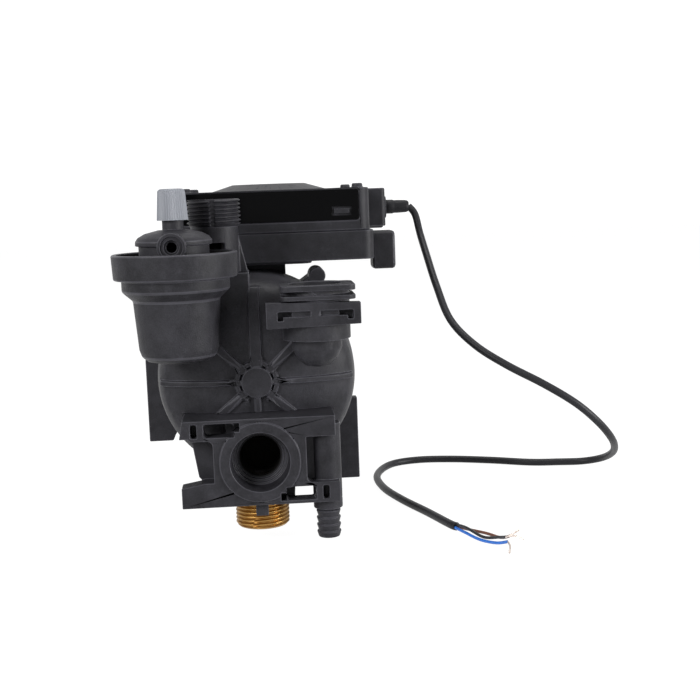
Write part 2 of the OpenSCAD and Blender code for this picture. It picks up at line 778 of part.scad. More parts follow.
module clip_slot(side) {
    y0 = -socket_y - barrel_r - wall;
    z0 = clip_plate_z + 0.44 * clip_plate_h;
    mid = socket_x - 0.02 * clip_plate_w;
    x0 = mid + side * 0.05 * clip_plate_w;
    x1 = mid + side * 0.4 * clip_plate_w;
    deep = side * 0.15 * clip_plate_w;
    leg = side * 0.06 * clip_plate_w;
    box(min(x0, x1), max(x0, x1), y0, y0 + 1.2 * wall, z0, z0 + 0.2 * clip_plate_h);
    box(min(x1 - deep, x1), max(x1 - deep, x1), y0, y0 + 2.2 * wall, z0, z0 + 0.2 * clip_plate_h);
    box(min(x1 - leg, x1), max(x1 - leg, x1), y0, y0 + 2.2 * wall, z0 - 0.15 * clip_plate_h,
        z0 + 0.1 * clip_plate_h);
}

// The threaded spigot for the expansion vessel's pipe, on its neck, with one gusset.
module vessel_spigot() {
    color(plastic)
        difference() {
            union() {
                rod_z(-spigot_x, spigot_y, spigot_z, spigot_top, spigot_r);
                rod_z(-spigot_x, spigot_y, pad_z, spigot_z, spigot_neck_r);
                xz(spigot_y - wall / 3, spigot_y + wall / 3)
                    polygon([[-spigot_x, spigot_z - 1.5 * wall],
                        [-spigot_x + spigot_neck_r, spigot_z - 1.5 * wall],
                        [-spigot_x + 5.2 * wall, pad_z], [-spigot_x, pad_z]]);
            }
            rod_z(-spigot_x, spigot_y, pad_z - wall, spigot_top + wall, spigot_bore_r);
            translate(vent_centre)
                cylinder(h = vent_top + wall, r = collar_r + set_gap);
        }
}

// the room that the motor's round flange takes out of the brackets
module flange_room() {
    rod_y(0, pump_z, volute_back - wall, flange_back + seat_gap, dome_r + seat_gap);
}

// The left rear bracket, a ribbed block open at the back.
module left_rear_bracket() {
    x0 = left_bracket_x;
    x1 = left_bracket_x + left_bracket_w;
    z0 = left_bracket_z;
    z1 = left_bracket_z + bracket_h;
    color(matt)
        difference() {
            xz(volute_back, volute_back + bracket_depth)
                polygon([[x0 + wall / 2, z0], [x1 - 1.3 * wall, z0], [x1, z0 + 1.6 * wall],
                    [x1, z1], [x0, z1]]);
            box(x0 + wall, x1 - wall, volute_back + wall, volute_back + 2 * bracket_depth,
                z0 + 2 * wall, z0 + bracket_h / 2 - wall / 2);
            box(x0 + wall, x1 - wall, volute_back + wall, volute_back + 2 * bracket_depth,
                z0 + bracket_h / 2 + wall / 2, z1 - wall);
            flange_room();
            for (k = [0, 1, 2])
                box(x0 - wall, x0 + wall / 3, volute_back - wall, volute_back + 2 * bracket_depth,
                    z1 - (3 + 1.4 * k) * wall, z1 - (2.6 + 1.4 * k) * wall);
        }
}

// The right rear bracket, lower down, with a sloping top.
module right_rear_bracket() {
    x1 = right_bracket_x;
    x0 = right_bracket_x - right_bracket_w;
    z0 = right_bracket_z;
    z1 = right_bracket_z + bracket_h;
    color(matt)
        difference() {
            xz(volute_back, volute_back + bracket_depth)
                polygon([[x0, z0], [x1, z0], [x1 - wall / 3, z1 - 3 * wall], [x1 - wall, z1 - wall],
                    [x1 - 1.7 * wall, z1], [x0, z1]]);
            box(x0 + wall, x1 - wall, volute_back + wall, volute_back + 2 * bracket_depth,
                z0 + wall, z1 - 3 * wall);
            flange_room();
        }
}

// The brass return nipple: threaded below the block, with a plain grooved tail inside it.
module return_nipple() {
    color(brass)
        rotate_extrude()
            polygon([[nipple_bore_r, 0], [nipple_r, 0], [nipple_r, block_bottom],
                [tail_r, block_bottom], [tail_r, block_bottom + 0.6 * wall],
                [tail_r - wall / 2, block_bottom + 0.6 * wall],
                [tail_r - wall / 2, block_bottom + 1.3 * wall], [tail_r, block_bottom + 1.3 * wall],
                [tail_r, block_bottom + nipple_tail], [nipple_bore_r, block_bottom + nipple_tail]]);
}

// The sealing ring in the groove of the nipple's tail.
module nipple_ring() {
    color(rubber)
        ring_z([0, 0], tail_r - wall / 2 + set_gap / 2, tail_r + set_gap / 2,
            block_bottom + 0.6 * wall, block_bottom + 1.3 * wall);
}

module tongue_shape(trim) {
    box(-wall + trim, wall - trim, -nipple_r - 1.1 * wall + trim, -nipple_r - 0.35 * wall - trim,
        block_bottom - 2 * wall, block_bottom + 1.5 * wall);
}

// The plastic tongue that locks the nipple, set in a pocket of the block.
module nipple_tongue() {
    color(matt)
        tongue_shape(0);
}

// The drain: a barbed hose tail with a collar, whose spindle turns in the block's column.
module drain_tail() {
    z0 = drain_bottom;
    pitch = barb_len / 4;
    barbs = [for (k = [0:3]) each [[barb_r - wall / 4, z0 + k * pitch],
        [barb_r, z0 + (k + 0.7) * pitch], [barb_r, z0 + (k + 0.85) * pitch],
        [barb_r - wall / 4, z0 + (k + 0.86) * pitch]]];
    color(plastic)
        translate([drain_x, -drain_y, 0])
            difference() {
                rotate_extrude()
                    polygon(concat([[0, z0]], barbs, [[barb_r - wall / 4, z0 + barb_len],
                        [column_r, z0 + barb_len + wall / 4], [column_r, drain_seat],
                        [spindle_r, drain_seat], [spindle_r, spindle_top - 2.2 * wall],
                        [spindle_r - wall / 2, spindle_top - 2.2 * wall],
                        [spindle_r - wall / 2, spindle_top - 1.4 * wall],
                        [spindle_r, spindle_top - 1.4 * wall], [spindle_r, spindle_top],
                        [0, spindle_top]]));
                translate([0, 0, z0 - wall])
                    cylinder(h = barb_len + 2 * wall, r = barb_r / 2);
            }
}

// The sealing ring on the drain's spindle.
module drain_ring() {
    color(rubber)
        ring_z([drain_x, -drain_y], spindle_r - wall / 2 + set_gap / 2, spindle_r,
            spindle_top - 2.2 * wall, spindle_top - 1.4 * wall);
}

// The head of the air vent: base, round body with an overhanging lip, domed top, fluted neck and the
// outlet boss that looks forward.
module vent_head() {
    color(plastic)
        difference() {
            union() {
                translate(vent_centre)
                    rotate_extrude()
                        polygon([[0, head_seat], [head_base_r, head_seat],
                            [head_base_r, head_seat + wall / 2],
                            [head_base_r - wall / 2, head_seat + wall / 2],
                            [head_base_r - wall / 2, head_seat + 1.3 * wall],
                            [head_base_r, head_seat + 1.3 * wall], [head_base_r, head_floor],
                            [head_r - wall / 2, head_floor], [head_r - wall / 2, lip_z],
                            [head_r, lip_z], [head_r, lip_top - wall / 3],
                            [0.93 * head_r, lip_top + wall / 4], [0.75 * head_r, head_top - wall / 2],
                            [0.4 * head_r, head_top], [neck_r, head_top], [neck_r, neck_top],
                            [0, neck_top]]);
                rod_y(-vent_x, outlet_z, -vent_y - head_r - 0.4 * wall, -vent_y, outlet_r);
                lever_ears();
            }
            difference() {
                translate(vent_centre)
                    rotate_extrude()
                        polygon([[0, head_seat - wall], [cup_r - 1.6 * wall, head_seat - wall],
                            [cup_r - 1.6 * wall, head_floor + wall], [neck_r, outlet_z - wall / 3],
                            [wall, lip_z], [0, lip_z]]);
                lever_ears();
            }
            rod_y(-vent_x - pivot_x, pivot_z, -vent_y - 3 * wall, -vent_y + 3 * wall,
                wall / 2 + running);
            rod_y(-vent_x, outlet_z, -vent_y - head_r - wall, -vent_y - head_r + wall / 2,
                outlet_r - wall / 2);
            rod_y(-vent_x, outlet_z, -vent_y - head_r - wall, -vent_y, 0.8 * wall);
        }
}

// the two ears under the head that hold the lever's pin
module lever_ears() {
    for (y = [-vent_y - 1.6 * wall, -vent_y + wall + face_gap])
        box(-vent_x - 5.4 * wall, -vent_x - pivot_x + 0.9 * wall, y, y + 0.6 * wall - face_gap,
            pivot_z - 0.9 * wall, head_seat + 2 * wall);
}

// The sealing ring in the head's base.
module vent_head_ring() {
    color(rubber)
        ring_z([-vent_x, -vent_y], head_base_r - wall / 2 + set_gap / 2,
            head_base_r + set_gap / 2, head_seat + wall / 2, head_seat + 1.3 * wall);
}

// The stepped ring pushed into the outlet boss.
module vent_outlet_ring() {
    r = outlet_r - wall / 2 - set_gap;
    y1 = -vent_y - head_r + wall / 2;
    color(matt)
        difference() {
            rod_y(-vent_x, outlet_z, y1 - 0.6 * wall, y1, r);
            rod_y(-vent_x, outlet_z, y1 - wall, y1 + wall, 1.15 * wall);
        }
}

// The light grey cap of the air vent, screwed on the neck.
module vent_cap() {
    color(grey)
        translate(vent_centre)
            rotate_extrude()
                polygon([[neck_r + running, cap_z], [cap_r, cap_z],
                    [cap_r - wall / 3, cap_z + cap_h - wall / 4],
                    [cap_r - 0.8 * wall, cap_z + cap_h], [0, cap_z + cap_h],
                    [0, neck_top + face_gap], [neck_r + running, neck_top + face_gap]]);
}

// The float of the air vent, with the rod that lifts the lever.
module vent_float() {
    color(grey)
        translate(vent_centre)
            rotate_extrude()
                polygon([[0, float_z], [0.55 * float_r, float_z], [float_r - wall / 2, float_z + 3 * wall],
                    [float_r - wall / 2, float_z + float_h - wall],
                    [float_r - 1.4 * wall, float_z + float_h], [wall / 2, float_z + float_h],
                    [wall / 2, rod_top], [0, rod_top]]);
}

// The lever of the air vent's valve, which swings on a pin to one side.
module vent_lever() {
    color(steel)
        translate(vent_centre)
            union() {
                box(-pivot_x, wall, -wall / 2, wall / 2, lever_z, lever_z + wall / 3);
                rod_y(-pivot_x, pivot_z, -1.5 * wall, 1.5 * wall, wall / 2);
            }
}

// The valve needle that stands on the lever.
module vent_needle() {
    color(brass)
        translate([-vent_x - pivot_x / 3, -vent_y, lever_z + wall / 3])
            cylinder(h = 1.6 * wall, r1 = wall / 3, r2 = wall / 6);
}

// The plate with the suction eye, which parts the inlet side from the volute.
module eye_plate() {
    color(matt)
        turned([[impeller_r / 2.3, joint_y], [dome_r - 0.75 * wall - set_gap, joint_y],
            [dome_r - 0.75 * wall - set_gap, eye_y], [impeller_r / 2.3, eye_y]]);
}

// The impeller's back disc with its hub and seven curved vanes.
module impeller() {
    y1 = impeller_back - plate_t / 2;
    y0 = impeller_y + plate_t / 2;
    color(matt)
        difference() {
            union() {
                turned([[0, y1], [impeller_r, y1], [impeller_r, impeller_back], [0, impeller_back]]);
                turned([[0, y0 + wall], [bearing_r, y0 + wall], [1.4 * bearing_r, y1], [0, y1]]);
                for (k = [0:6])
                    translate([0, 0, pump_z])
                        rotate([0, k * 360 / 7, 0])
                            translate([0, y1 + plate_t / 4, 0])
                                rotate([90, 0, 0])
                                    linear_extrude(y1 - y0 + plate_t / 4)
                                        vane_outline();
            }
            rod_y(0, pump_z, 0, motor_back, shaft_r);
        }
}

module vane_outline() {
    polygon([[0.45 * impeller_r, 0], [0.62 * impeller_r, 0.13 * impeller_r],
        [0.8 * impeller_r, 0.33 * impeller_r], [0.86 * impeller_r, 0.47 * impeller_r],
        [0.83 * impeller_r, 0.5 * impeller_r], [0.74 * impeller_r, 0.35 * impeller_r],
        [0.58 * impeller_r, 0.18 * impeller_r], [0.43 * impeller_r, 0.05 * impeller_r]]);
}

// The impeller's front shroud with the inlet eye.
module impeller_shroud() {
    y0 = impeller_y;
    y1 = impeller_y + plate_t / 2;
    color(matt)
        turned([[0.4 * impeller_r, y0], [impeller_r, y0], [impeller_r, y1], [0.4 * impeller_r, y1]]);
}

// The ceramic shaft.
module shaft() {
    color(ceramic)
        rod_y(0, pump_z, impeller_y + plate_t / 2 + wall, rear_bearing_y + 2 * wall, shaft_r);
}

// The magnet rotor in its sleeve.
module rotor() {
    color(steel)
        turned([[shaft_r, rotor_y], [rotor_r, rotor_y], [rotor_r, rotor_back], [shaft_r, rotor_back]]);
}

// The ring between the rotor and the front bearing.
module thrust_ring() {
    y0 = bearing_y + bearing_len + face_gap;
    color(ceramic)
        turned([[shaft_r, y0], [1.6 * shaft_r, y0], [1.6 * shaft_r, rotor_y], [shaft_r, rotor_y]]);
}

module bearing(y0, len) {
    color(ceramic)
        turned([[shaft_r + running, y0], [bearing_r, y0], [bearing_r, y0 + len],
            [shaft_r + running, y0 + len]]);
}

// The bearing bush at the impeller's end, held in the bearing plate.
module front_bearing() {
    bearing(bearing_y, bearing_len);
}

// The bearing bush at the closed end of the can.
module rear_bearing() {
    bearing(rear_bearing_y, 2 * wall);
}

// The bearing plate, a pressed disc with a collar for the bush.
module bearing_plate() {
    r = chamber_r + 0.6 * wall - set_gap;
    color(steel)
        turned([[bearing_r, bearing_y], [bearing_r + wall / 2, bearing_y],
            [bearing_r + wall / 2, plate_y], [r, plate_y], [r, can_y], [bearing_r + wall / 2, can_y],
            [bearing_r + wall / 2, bearing_y + bearing_len], [bearing_r, bearing_y + bearing_len]]);
}

// The thin steel can that keeps the water from the windings, with the seat of the rear bush.
module rotor_can() {
    r = chamber_r + 0.6 * wall - set_gap;
    step = rear_bearing_y - face_gap;
    color(steel)
        turned([[can_r, can_y], [r, can_y], [r, gasket_y], [can_r + can_t, gasket_y],
            [can_r + can_t, step], [bearing_r + can_t, step], [bearing_r + can_t, can_back],
            [0, can_back], [0, can_back - can_t], [0.6 * bearing_r, can_back - can_t],
            [0.6 * bearing_r, rear_bearing_y + 2 * wall], [bearing_r, rear_bearing_y + 2 * wall],
            [bearing_r, step - can_t], [can_r, step - can_t]]);
}

// The flat gasket between the can's flange and the motor.
module flange_gasket() {
    r = chamber_r + 0.6 * wall - set_gap;
    color(rubber)
        turned([[r - 2 * wall, gasket_y], [r, gasket_y], [r, nose_y], [r - 2 * wall, nose_y]]);
}

// The laminated stator with six slots.
module stator_core() {
    color(steel)
        xz(stator_y, stator_y + stator_len)
            translate([0, pump_z])
                difference() {
                    circle(stator_r);
                    circle(can_r + can_t + set_gap);
                    for (k = [0:5])
                        rotate(60 * k)
                            translate([can_r + 2 * wall, -1.6 * wall])
                                square([stator_r - can_r - 4 * wall, 3.2 * wall]);
                }
}

// The copper windings: a bundle through each slot, joined by the end turns.
module windings() {
    r0 = can_r + 2 * wall + set_gap;
    r1 = stator_r - 2 * wall - set_gap;
    color(copper) {
        for (y0 = [stator_y - coil_out, stator_y + stator_len])
            turned([[r0, y0], [r1, y0], [r1, y0 + coil_out], [r0, y0 + coil_out]]);
        xz(stator_y - coil_out / 2, stator_y + stator_len + coil_out / 2)
            translate([0, pump_z])
                for (k = [0:5])
                    rotate(60 * k)
                        translate([r0 + wall / 4, -1.6 * wall + set_gap])
                            square([r1 - r0 - wall / 2, 3.2 * wall - 2 * set_gap]);
    }
}

// The motor housing: flange with four lugs, round shell, closed end and the saddle of the control box.
module motor_housing() {
    back = motor_back - 0.7 * wall;
    r = chamber_r + 0.6 * wall - set_gap;
    color(matt)
        difference() {
            union() {
                turned([[0, nose_y], [r, nose_y], [r, volute_back], [dome_r, volute_back],
                    [dome_r, flange_back], [motor_r, flange_back], [motor_r, motor_back - wall],
                    [motor_r - wall, motor_back], [0, motor_back]]);
                for (sx = [-1, 1], sz = [-1, 1])
                    flange_lug(sx, sz);
                box(-saddle_half, saddle_half, flange_back + 2 * wall, motor_back - 4 * wall,
                    pump_z + 0.85 * motor_r, saddle_z);
            }
            turned([[0, nose_y - wall], [r - 2 * wall, nose_y - wall], [r - 2 * wall, stator_y],
                [motor_r - wall, stator_y], [motor_r - wall, stator_y + stator_len],
                [motor_r - 2 * wall, stator_y + stator_len], [motor_r - 2 * wall, back - wall],
                [0, back - wall]]);
            for (sx = [-1, 1], sz = [-1, 1])
                rod_y(sx * hole_x(sz), pump_z + sz * hole_z(sz), volute_back - wall, flange_back + wall,
                    screw_hole_r);
            rod_z(0, flange_back + 5 * wall, pump_z, saddle_z + wall, 1.5 * wall);
        }
}

module flange_lug(sx, sz) {
    x = sx * hole_x(sz);
    z = pump_z + sz * hole_z(sz);
    rod_y(x, z, volute_back, flange_back, lug_r);
    xz(volute_back, flange_back)
        polygon([[x - sx * 2.4 * lug_r, z - sz * lug_r], [x - sx * lug_r, z],
            [x, z - sz * lug_r], [x - sx * lug_r, z - sz * 3 * lug_r],
            [x - sx * 2.4 * lug_r, z - sz * 3 * lug_r]]);
}

// The four screws that hold the motor to the volute body.
module flange_screws() {
    color(steel)
        for (sx = [-1, 1], sz = [-1, 1]) {
            rod_y(sx * hole_x(sz), pump_z + sz * hole_z(sz), volute_back - 4 * wall, flange_back,
                screw_r);
            difference() {
                rod_y(sx * hole_x(sz), pump_z + sz * hole_z(sz), flange_back, flange_back + 1.2 * wall,
                    1.25 * wall);
                rod_y(sx * hole_x(sz), pump_z + sz * hole_z(sz), flange_back + wall / 2,
                    flange_back + 2 * wall, 0.7 * wall);
            }
        }
}

// The lower tub of the control box, with a deeper middle that stands on the motor's saddle.
module box_tub() {
    x0 = -box_left + 0.7 * wall;
    y0 = box_front + wall / 3;
    y1 = box_back - 0.7 * wall;
    color(matt)
        difference() {
            union() {
                xy(tub_z, cover_z)
                    round_rect(x0, tub_right, y0, y1, corner_r);
                xy(keel_z, tub_z)
                    round_rect(x0 + 3 * wall, box_mid + 7 * wall, y0 + 2 * wall, y1 - 4 * wall,
                        corner_r);
            }
            difference() {
                xy(tub_z + box_wall, cover_z + wall)
                    round_rect(x0 + box_wall, tub_right - box_wall, y0 + box_wall, y1 - box_wall,
                        corner_r - box_wall);
                box_posts(0, cover_z - wall);
                rod_x(plug_y, plug_z, tub_right - 3 * wall, tub_right, 2.6 * wall);
            }
            rod_z(0, flange_back + 5 * wall, keel_z - wall, tub_z + wall, 1.5 * wall);
            rod_x(plug_y, plug_z, tub_right - 4 * wall, tub_right + wall, 1.8 * wall + running);
            box_posts(-1, cover_z + wall);
        }
}

// the posts near the corners of the box: 0 draws them solid, -1 draws their screw holes
module box_posts(kind, top) {
    for (x = [-box_left + 2.6 * wall, box_right - 1.9 * wall])
        for (y = [box_front + 2.6 * wall, box_back - 3 * wall])
            if (kind == 0)
                rod_z(x, y, tub_z, top, 1.3 * wall);
            else
                rod_z(x, y, cover_z - 4 * wall, top, 0.5 * wall + set_gap);
}

// The cover of the control box: a shell with a recess for the glossy panel, a round bump on the top
// and small domed pillars at the corners.
module box_cover() {
    inside = corner_r - box_wall;
    color(matt)
        difference() {
            union() {
                xy(cover_z, cover_top)
                    round_rect(-box_left, box_right, box_front, box_back, corner_r);
                translate([box_mid, box_front + 0.48 * box_depth, cover_top])
                    cylinder(h = 1.2 * wall, r1 = bump_r + wall / 2, r2 = bump_r - 3.5 * wall);
                for (x = [-box_left + 2.6 * wall, box_right - 1.9 * wall])
                    for (y = [box_front + 2.6 * wall, box_back - 3 * wall])
                        rod_z(x, y, cover_top, cover_top + 0.75 * wall, 0.95 * wall);
            }
            difference() {
                xy(cover_z - wall, cover_top - box_wall)
                    round_rect(-box_left + box_wall, box_right - box_wall, box_front + box_wall,
                        box_back - box_wall, inside);
                box_posts(0, cover_top);
            }
            xz(box_front - wall, box_front + panel_t)
                round_rect(-box_left + wall, box_right - 1.9 * wall, band_top, cover_top - wall / 4,
                    wall / 2);
            box_posts(-1, cover_z + 3.5 * wall);
            rod_x(gland_y, gland_z, box_right - 2 * wall, box_right + wall, lead_r + wall / 2);
        }
}

// The glossy front panel, let into the cover, with a small window at the right.
module front_panel() {
    color(gloss)
        difference() {
            xz(box_front, box_front + panel_t)
                round_rect(-box_left + wall + set_gap, box_right - 1.9 * wall - set_gap,
                    band_top + set_gap, cover_top - wall / 4 - set_gap, wall / 2 - set_gap);
            box(box_right - 6.6 * wall, box_right - 3.2 * wall, box_front - wall,
                box_front + wall, band_top + 0.8 * wall, band_top + 2.4 * wall);
        }
}

// The latch that shows in the panel's window.
module panel_latch() {
    color(matt)
        box(box_right - 6.2 * wall, box_right - 3.6 * wall, box_front - 0.1 * wall,
            box_front + panel_t, band_top + 1.2 * wall, band_top + 2 * wall);
}

// The circuit board, screwed on the corner posts.
module circuit_board() {
    inset = box_wall + set_gap;
    color(green)
        difference() {
            box(-box_left + inset, box_right - inset, box_front + inset, box_back - inset, board_z,
                board_z + board_t);
            for (x = [-box_left + 2.6 * wall, box_right - 1.9 * wall])
                for (y = [box_front + 2.6 * wall, box_back - 3 * wall])
                    rod_z(x, y, board_z - wall, board_z + wall, 1.3 * wall + set_gap);
            for (x = [-box_left, box_right])
                for (y = [box_front, box_back])
                    rod_z(x, y, board_z - wall, board_z + wall, corner_r);
        }
}

// The three capacitors of the board's mains part.
module capacitors() {
    color(steel)
        for (k = [0:2])
            rod_z(box_mid + (k - 1) * 6 * wall, box_front + box_depth / 2, board_z + board_t,
                board_z + board_t + 3.4 * wall, 2.5 * wall);
}

// The choke, a ring core standing on the board.
module choke() {
    color(copper)
        ring_z([box_mid - 10 * wall, box_back - 9 * wall], 1.4 * wall, 3.3 * wall, board_z + board_t,
            board_z + board_t + 3 * wall);
}

// The terminal block beside the cable entry.
module terminal_block() {
    color(grey)
        difference() {
            box(box_right - 8 * wall, box_right - 3.5 * wall, gland_y - 3 * wall,
                gland_y + 3 * wall, board_z + board_t, board_z + board_t + 3 * wall);
            for (k = [-1, 0, 1])
                rod_z(box_right - 5.7 * wall, gland_y + 1.8 * k * wall,
                    board_z + board_t + 1.5 * wall, board_z + board_t + 4 * wall, 0.6 * wall);
        }
}

// The screws that hold tub and cover together, driven from below.
module box_screws() {
    color(steel)
        for (x = [-box_left + 2.6 * wall, box_right - 1.9 * wall])
            for (y = [box_front + 2.6 * wall, box_back - 3 * wall])
                rod_z(x, y, cover_z - 4 * wall, cover_z + 3.4 * wall, 0.5 * wall);
}

// The connector housing on the side of the box.
module connector_housing() {
    z1 = cover_top - 0.2 * wall;
    color(plastic)
        difference() {
            union() {
                xy(cover_z, z1)
                    round_rect(box_right - 2 * corner_r, side_x, gland_y - 9 * wall,
                        box_back - corner_r, 0.8 * wall);
                box(tub_right + set_gap, side_x - wall / 2, gland_y - 8 * wall,
                    box_back - corner_r - wall, cover_z - 0.4 * wall, cover_z + wall);
            }
            box(box_right - 3 * corner_r, box_right, 0, 2 * box_back, 0, 2 * cover_top);
            box(box_right + wall, side_x - wall, gland_y - 6 * wall, box_back - corner_r - 2 * wall,
                cover_z + wall, z1 - wall);
            rod_x(gland_y, gland_z, box_right - wall, side_x + wall, lead_r + wall / 2);
        }
}

// The flat collar at the root of the cable gland.
module gland_collar() {
    color(plastic)
        difference() {
            translate([side_x, gland_y, gland_z])
                rotate([90, 0, 90])
                    linear_extrude(0.9 * wall)
                        round_rect(-2.1 * wall, 2.1 * wall, -2.1 * wall, 2.1 * wall, wall);
            rod_x(gland_y, gland_z, side_x - wall, side_x + 2 * wall, lead_r + wall / 2);
        }
}

// The cable gland, a ribbed strain relief moulded on the lead.
module cable_gland() {
    x0 = side_x + 0.9 * wall;
    color(rubber)
        translate([x0, gland_y, gland_z])
            rotate([0, 90, 0])
                rotate_extrude()
                    polygon([[0, 0], [gland_r, 0], [gland_r, 0.35 * gland_len],
                        [gland_r - wall / 6, 0.36 * gland_len],
                        [gland_r - wall / 6, 0.45 * gland_len], [gland_r - wall / 12, 0.46 * gland_len],
                        [gland_r - wall / 6, gland_len], [0, gland_len]]);
}

// The blanking plug of the unused socket on the side of the tub.
module blanking_plug() {
    x0 = tub_right + face_gap;
    color(plastic)
        difference() {
            union() {
                translate([x0, plug_y, cover_z - wall / 2])
                    rotate([90, 0, 90])
                        linear_extrude(plug_w)
                            round_rect(-plug_d / 2, plug_d / 2, -plug_h, 0, wall);
                rod_x(plug_y, plug_z, tub_right - 3 * wall, x0 + wall, 1.8 * wall);
            }
            rod_x(plug_y, plug_z, tub_right - 5 * wall, x0, 1.1 * wall);
        }
}

function unit(v) = v / norm(v);

// a smooth curve through the points: place and direction at a share of the way along it
function curve_at(p, i, t) = let (
    a = p[max(i - 1, 0)], b = p[i], c = p[i + 1], d = p[min(i + 2, len(p) - 1)])
    0.5 * (2 * b + (c - a) * t + (2 * a - 5 * b + 4 * c - d) * t * t
        + (3 * b - a - 3 * c + d) * t * t * t);

function curve(p, steps) = concat([for (i = [0:len(p) - 2]) for (k = [0:steps - 1])
    curve_at(p, i, k / steps)], [p[len(p) - 1]]);

function way(c, i) = unit(c[min(i + 1, len(c) - 1)] - c[max(i - 1, 0)]);

// a tube of even thickness along a curve, as one closed surface
module tube(points, radius, steps, sides, first_way) {
    c = curve(points, steps);
    n = len(c);
    rings = [for (i = [0:n - 1]) let (
        w = i == 0 ? first_way : way(c, i),
        u = unit(cross(w, [0.05, 0.02, 1])),
        v = cross(w, u))
        for (k = [0:sides - 1]) c[i] + radius * (cos(360 * k / sides) * u
            + sin(360 * k / sides) * v)];
    faces = concat([[for (k = [0:sides - 1]) sides - 1 - k]],
        [for (i = [0:n - 2]) for (k = [0:sides - 1]) [i * sides + k, i * sides + (k + 1) % sides,
            (i + 1) * sides + (k + 1) % sides, (i + 1) * sides + k]],
        [[for (k = [0:sides - 1]) (n - 1) * sides + k]]);
    polyhedron(points = rings, faces = faces, convexity = 8);
}

// The black sheath of the three-core lead, from the gland to its cut end.
module lead_sheath() {
    color(rubber)
        tube(lead_points, lead_r, 2, 10, [1, 0, 0]);
}

lead_curve = curve(lead_points, 2);
end_way = way(lead_curve, len(lead_curve) - 1);

// The three insulated cores that come out of the sheath's cut end.
module blue_core() {
    color([0.03, 0.2, 0.62])
        tube(blue_points, core_r, 3, 8, end_way);
}

module brown_core() {
    color([0.25, 0.11, 0.06])
        tube(brown_points, core_r, 3, 8, end_way);
}

module black_core() {
    color([0.04, 0.04, 0.04])
        tube(black_points, core_r, 3, 8, end_way);
}

// The tinned strands at the ends of the three cores.
module core_ends() {
    color(steel) {
        tube(blue_tip, 0.6 * core_r, 2, 8, unit(blue_tip[0] - blue_points[3]));
        tube(brown_tip, 0.6 * core_r, 2, 8, unit(brown_tip[0] - brown_points[3]));
        tube(black_tip, 0.6 * core_r, 2, 8, unit(black_tip[0] - black_points[3]));
    }
}

dome_cover();
volute_body();
port_block();
vent_chamber();
clip_socket();
vessel_spigot();
left_rear_bracket();
right_rear_bracket();
return_nipple();
nipple_ring();
nipple_tongue();
drain_tail();
drain_ring();
vent_head();
vent_head_ring();
vent_outlet_ring();
vent_cap();
vent_float();
vent_lever();
vent_needle();
eye_plate();
impeller();
impeller_shroud();
shaft();
rotor();
thrust_ring();
front_bearing();
rear_bearing();
bearing_plate();
rotor_can();
flange_gasket();
stator_core();
windings();
motor_housing();
flange_screws();
box_tub();
box_cover();
front_panel();
panel_latch();
circuit_board();
capacitors();
choke();
terminal_block();
box_screws();
connector_housing();
gland_collar();
cable_gland();
blanking_plug();
lead_sheath();
blue_core();
brown_core();
black_core();
core_ends();
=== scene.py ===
"""A boiler circulation pump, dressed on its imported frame: moulded housing, air vent, control box, lead."""
import json
import math

import bmesh
import bpy
from mathutils import Matrix, Vector


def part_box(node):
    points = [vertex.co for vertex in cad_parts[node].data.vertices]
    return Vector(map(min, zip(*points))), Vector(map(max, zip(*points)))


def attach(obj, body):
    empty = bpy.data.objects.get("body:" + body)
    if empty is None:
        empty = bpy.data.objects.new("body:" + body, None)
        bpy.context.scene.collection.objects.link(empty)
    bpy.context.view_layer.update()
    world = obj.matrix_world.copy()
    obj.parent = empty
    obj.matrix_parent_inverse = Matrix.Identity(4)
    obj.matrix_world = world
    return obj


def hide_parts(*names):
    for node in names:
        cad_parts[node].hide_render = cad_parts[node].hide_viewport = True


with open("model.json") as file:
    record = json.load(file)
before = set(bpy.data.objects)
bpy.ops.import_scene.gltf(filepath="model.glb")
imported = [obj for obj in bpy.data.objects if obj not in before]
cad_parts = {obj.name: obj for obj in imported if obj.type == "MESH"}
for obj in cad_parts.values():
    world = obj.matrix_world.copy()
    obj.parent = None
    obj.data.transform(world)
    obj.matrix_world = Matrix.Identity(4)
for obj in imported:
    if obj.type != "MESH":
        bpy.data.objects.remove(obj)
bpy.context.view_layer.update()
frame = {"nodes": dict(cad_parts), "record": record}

scene = bpy.context.scene
scene.view_settings.view_transform = "Standard"

# Studio
# The pump is photographed on white: a plain floor under the lead, white all round, two large soft
# lamps at the front left and right and a weaker one above.

MM = 0.001
photo_width = 700
focal_pixels = 1215
film_width = 36
view_right = Vector((0.996499, -0.07571, -0.035451))
view_up = Vector((0.044842, 0.126183, 0.990993))
view_back = Vector((-0.070555, -0.989114, 0.129137))
eye = Vector((0.004133, -0.590415, 0.161711))

camera_data = bpy.data.cameras.new("studio_camera")
camera_data.sensor_width = film_width
camera_data.lens = focal_pixels / photo_width * film_width
camera_data.clip_start = 0.05
camera_data.clip_end = 20
camera = bpy.data.objects.new("studio_camera", camera_data)
scene.collection.objects.link(camera)
camera.matrix_world = Matrix((
    (view_right.x, view_up.x, view_back.x, eye.x),
    (view_right.y, view_up.y, view_back.y, eye.y),
    (view_right.z, view_up.z, view_back.z, eye.z),
    (0, 0, 0, 1)))
scene.camera = camera


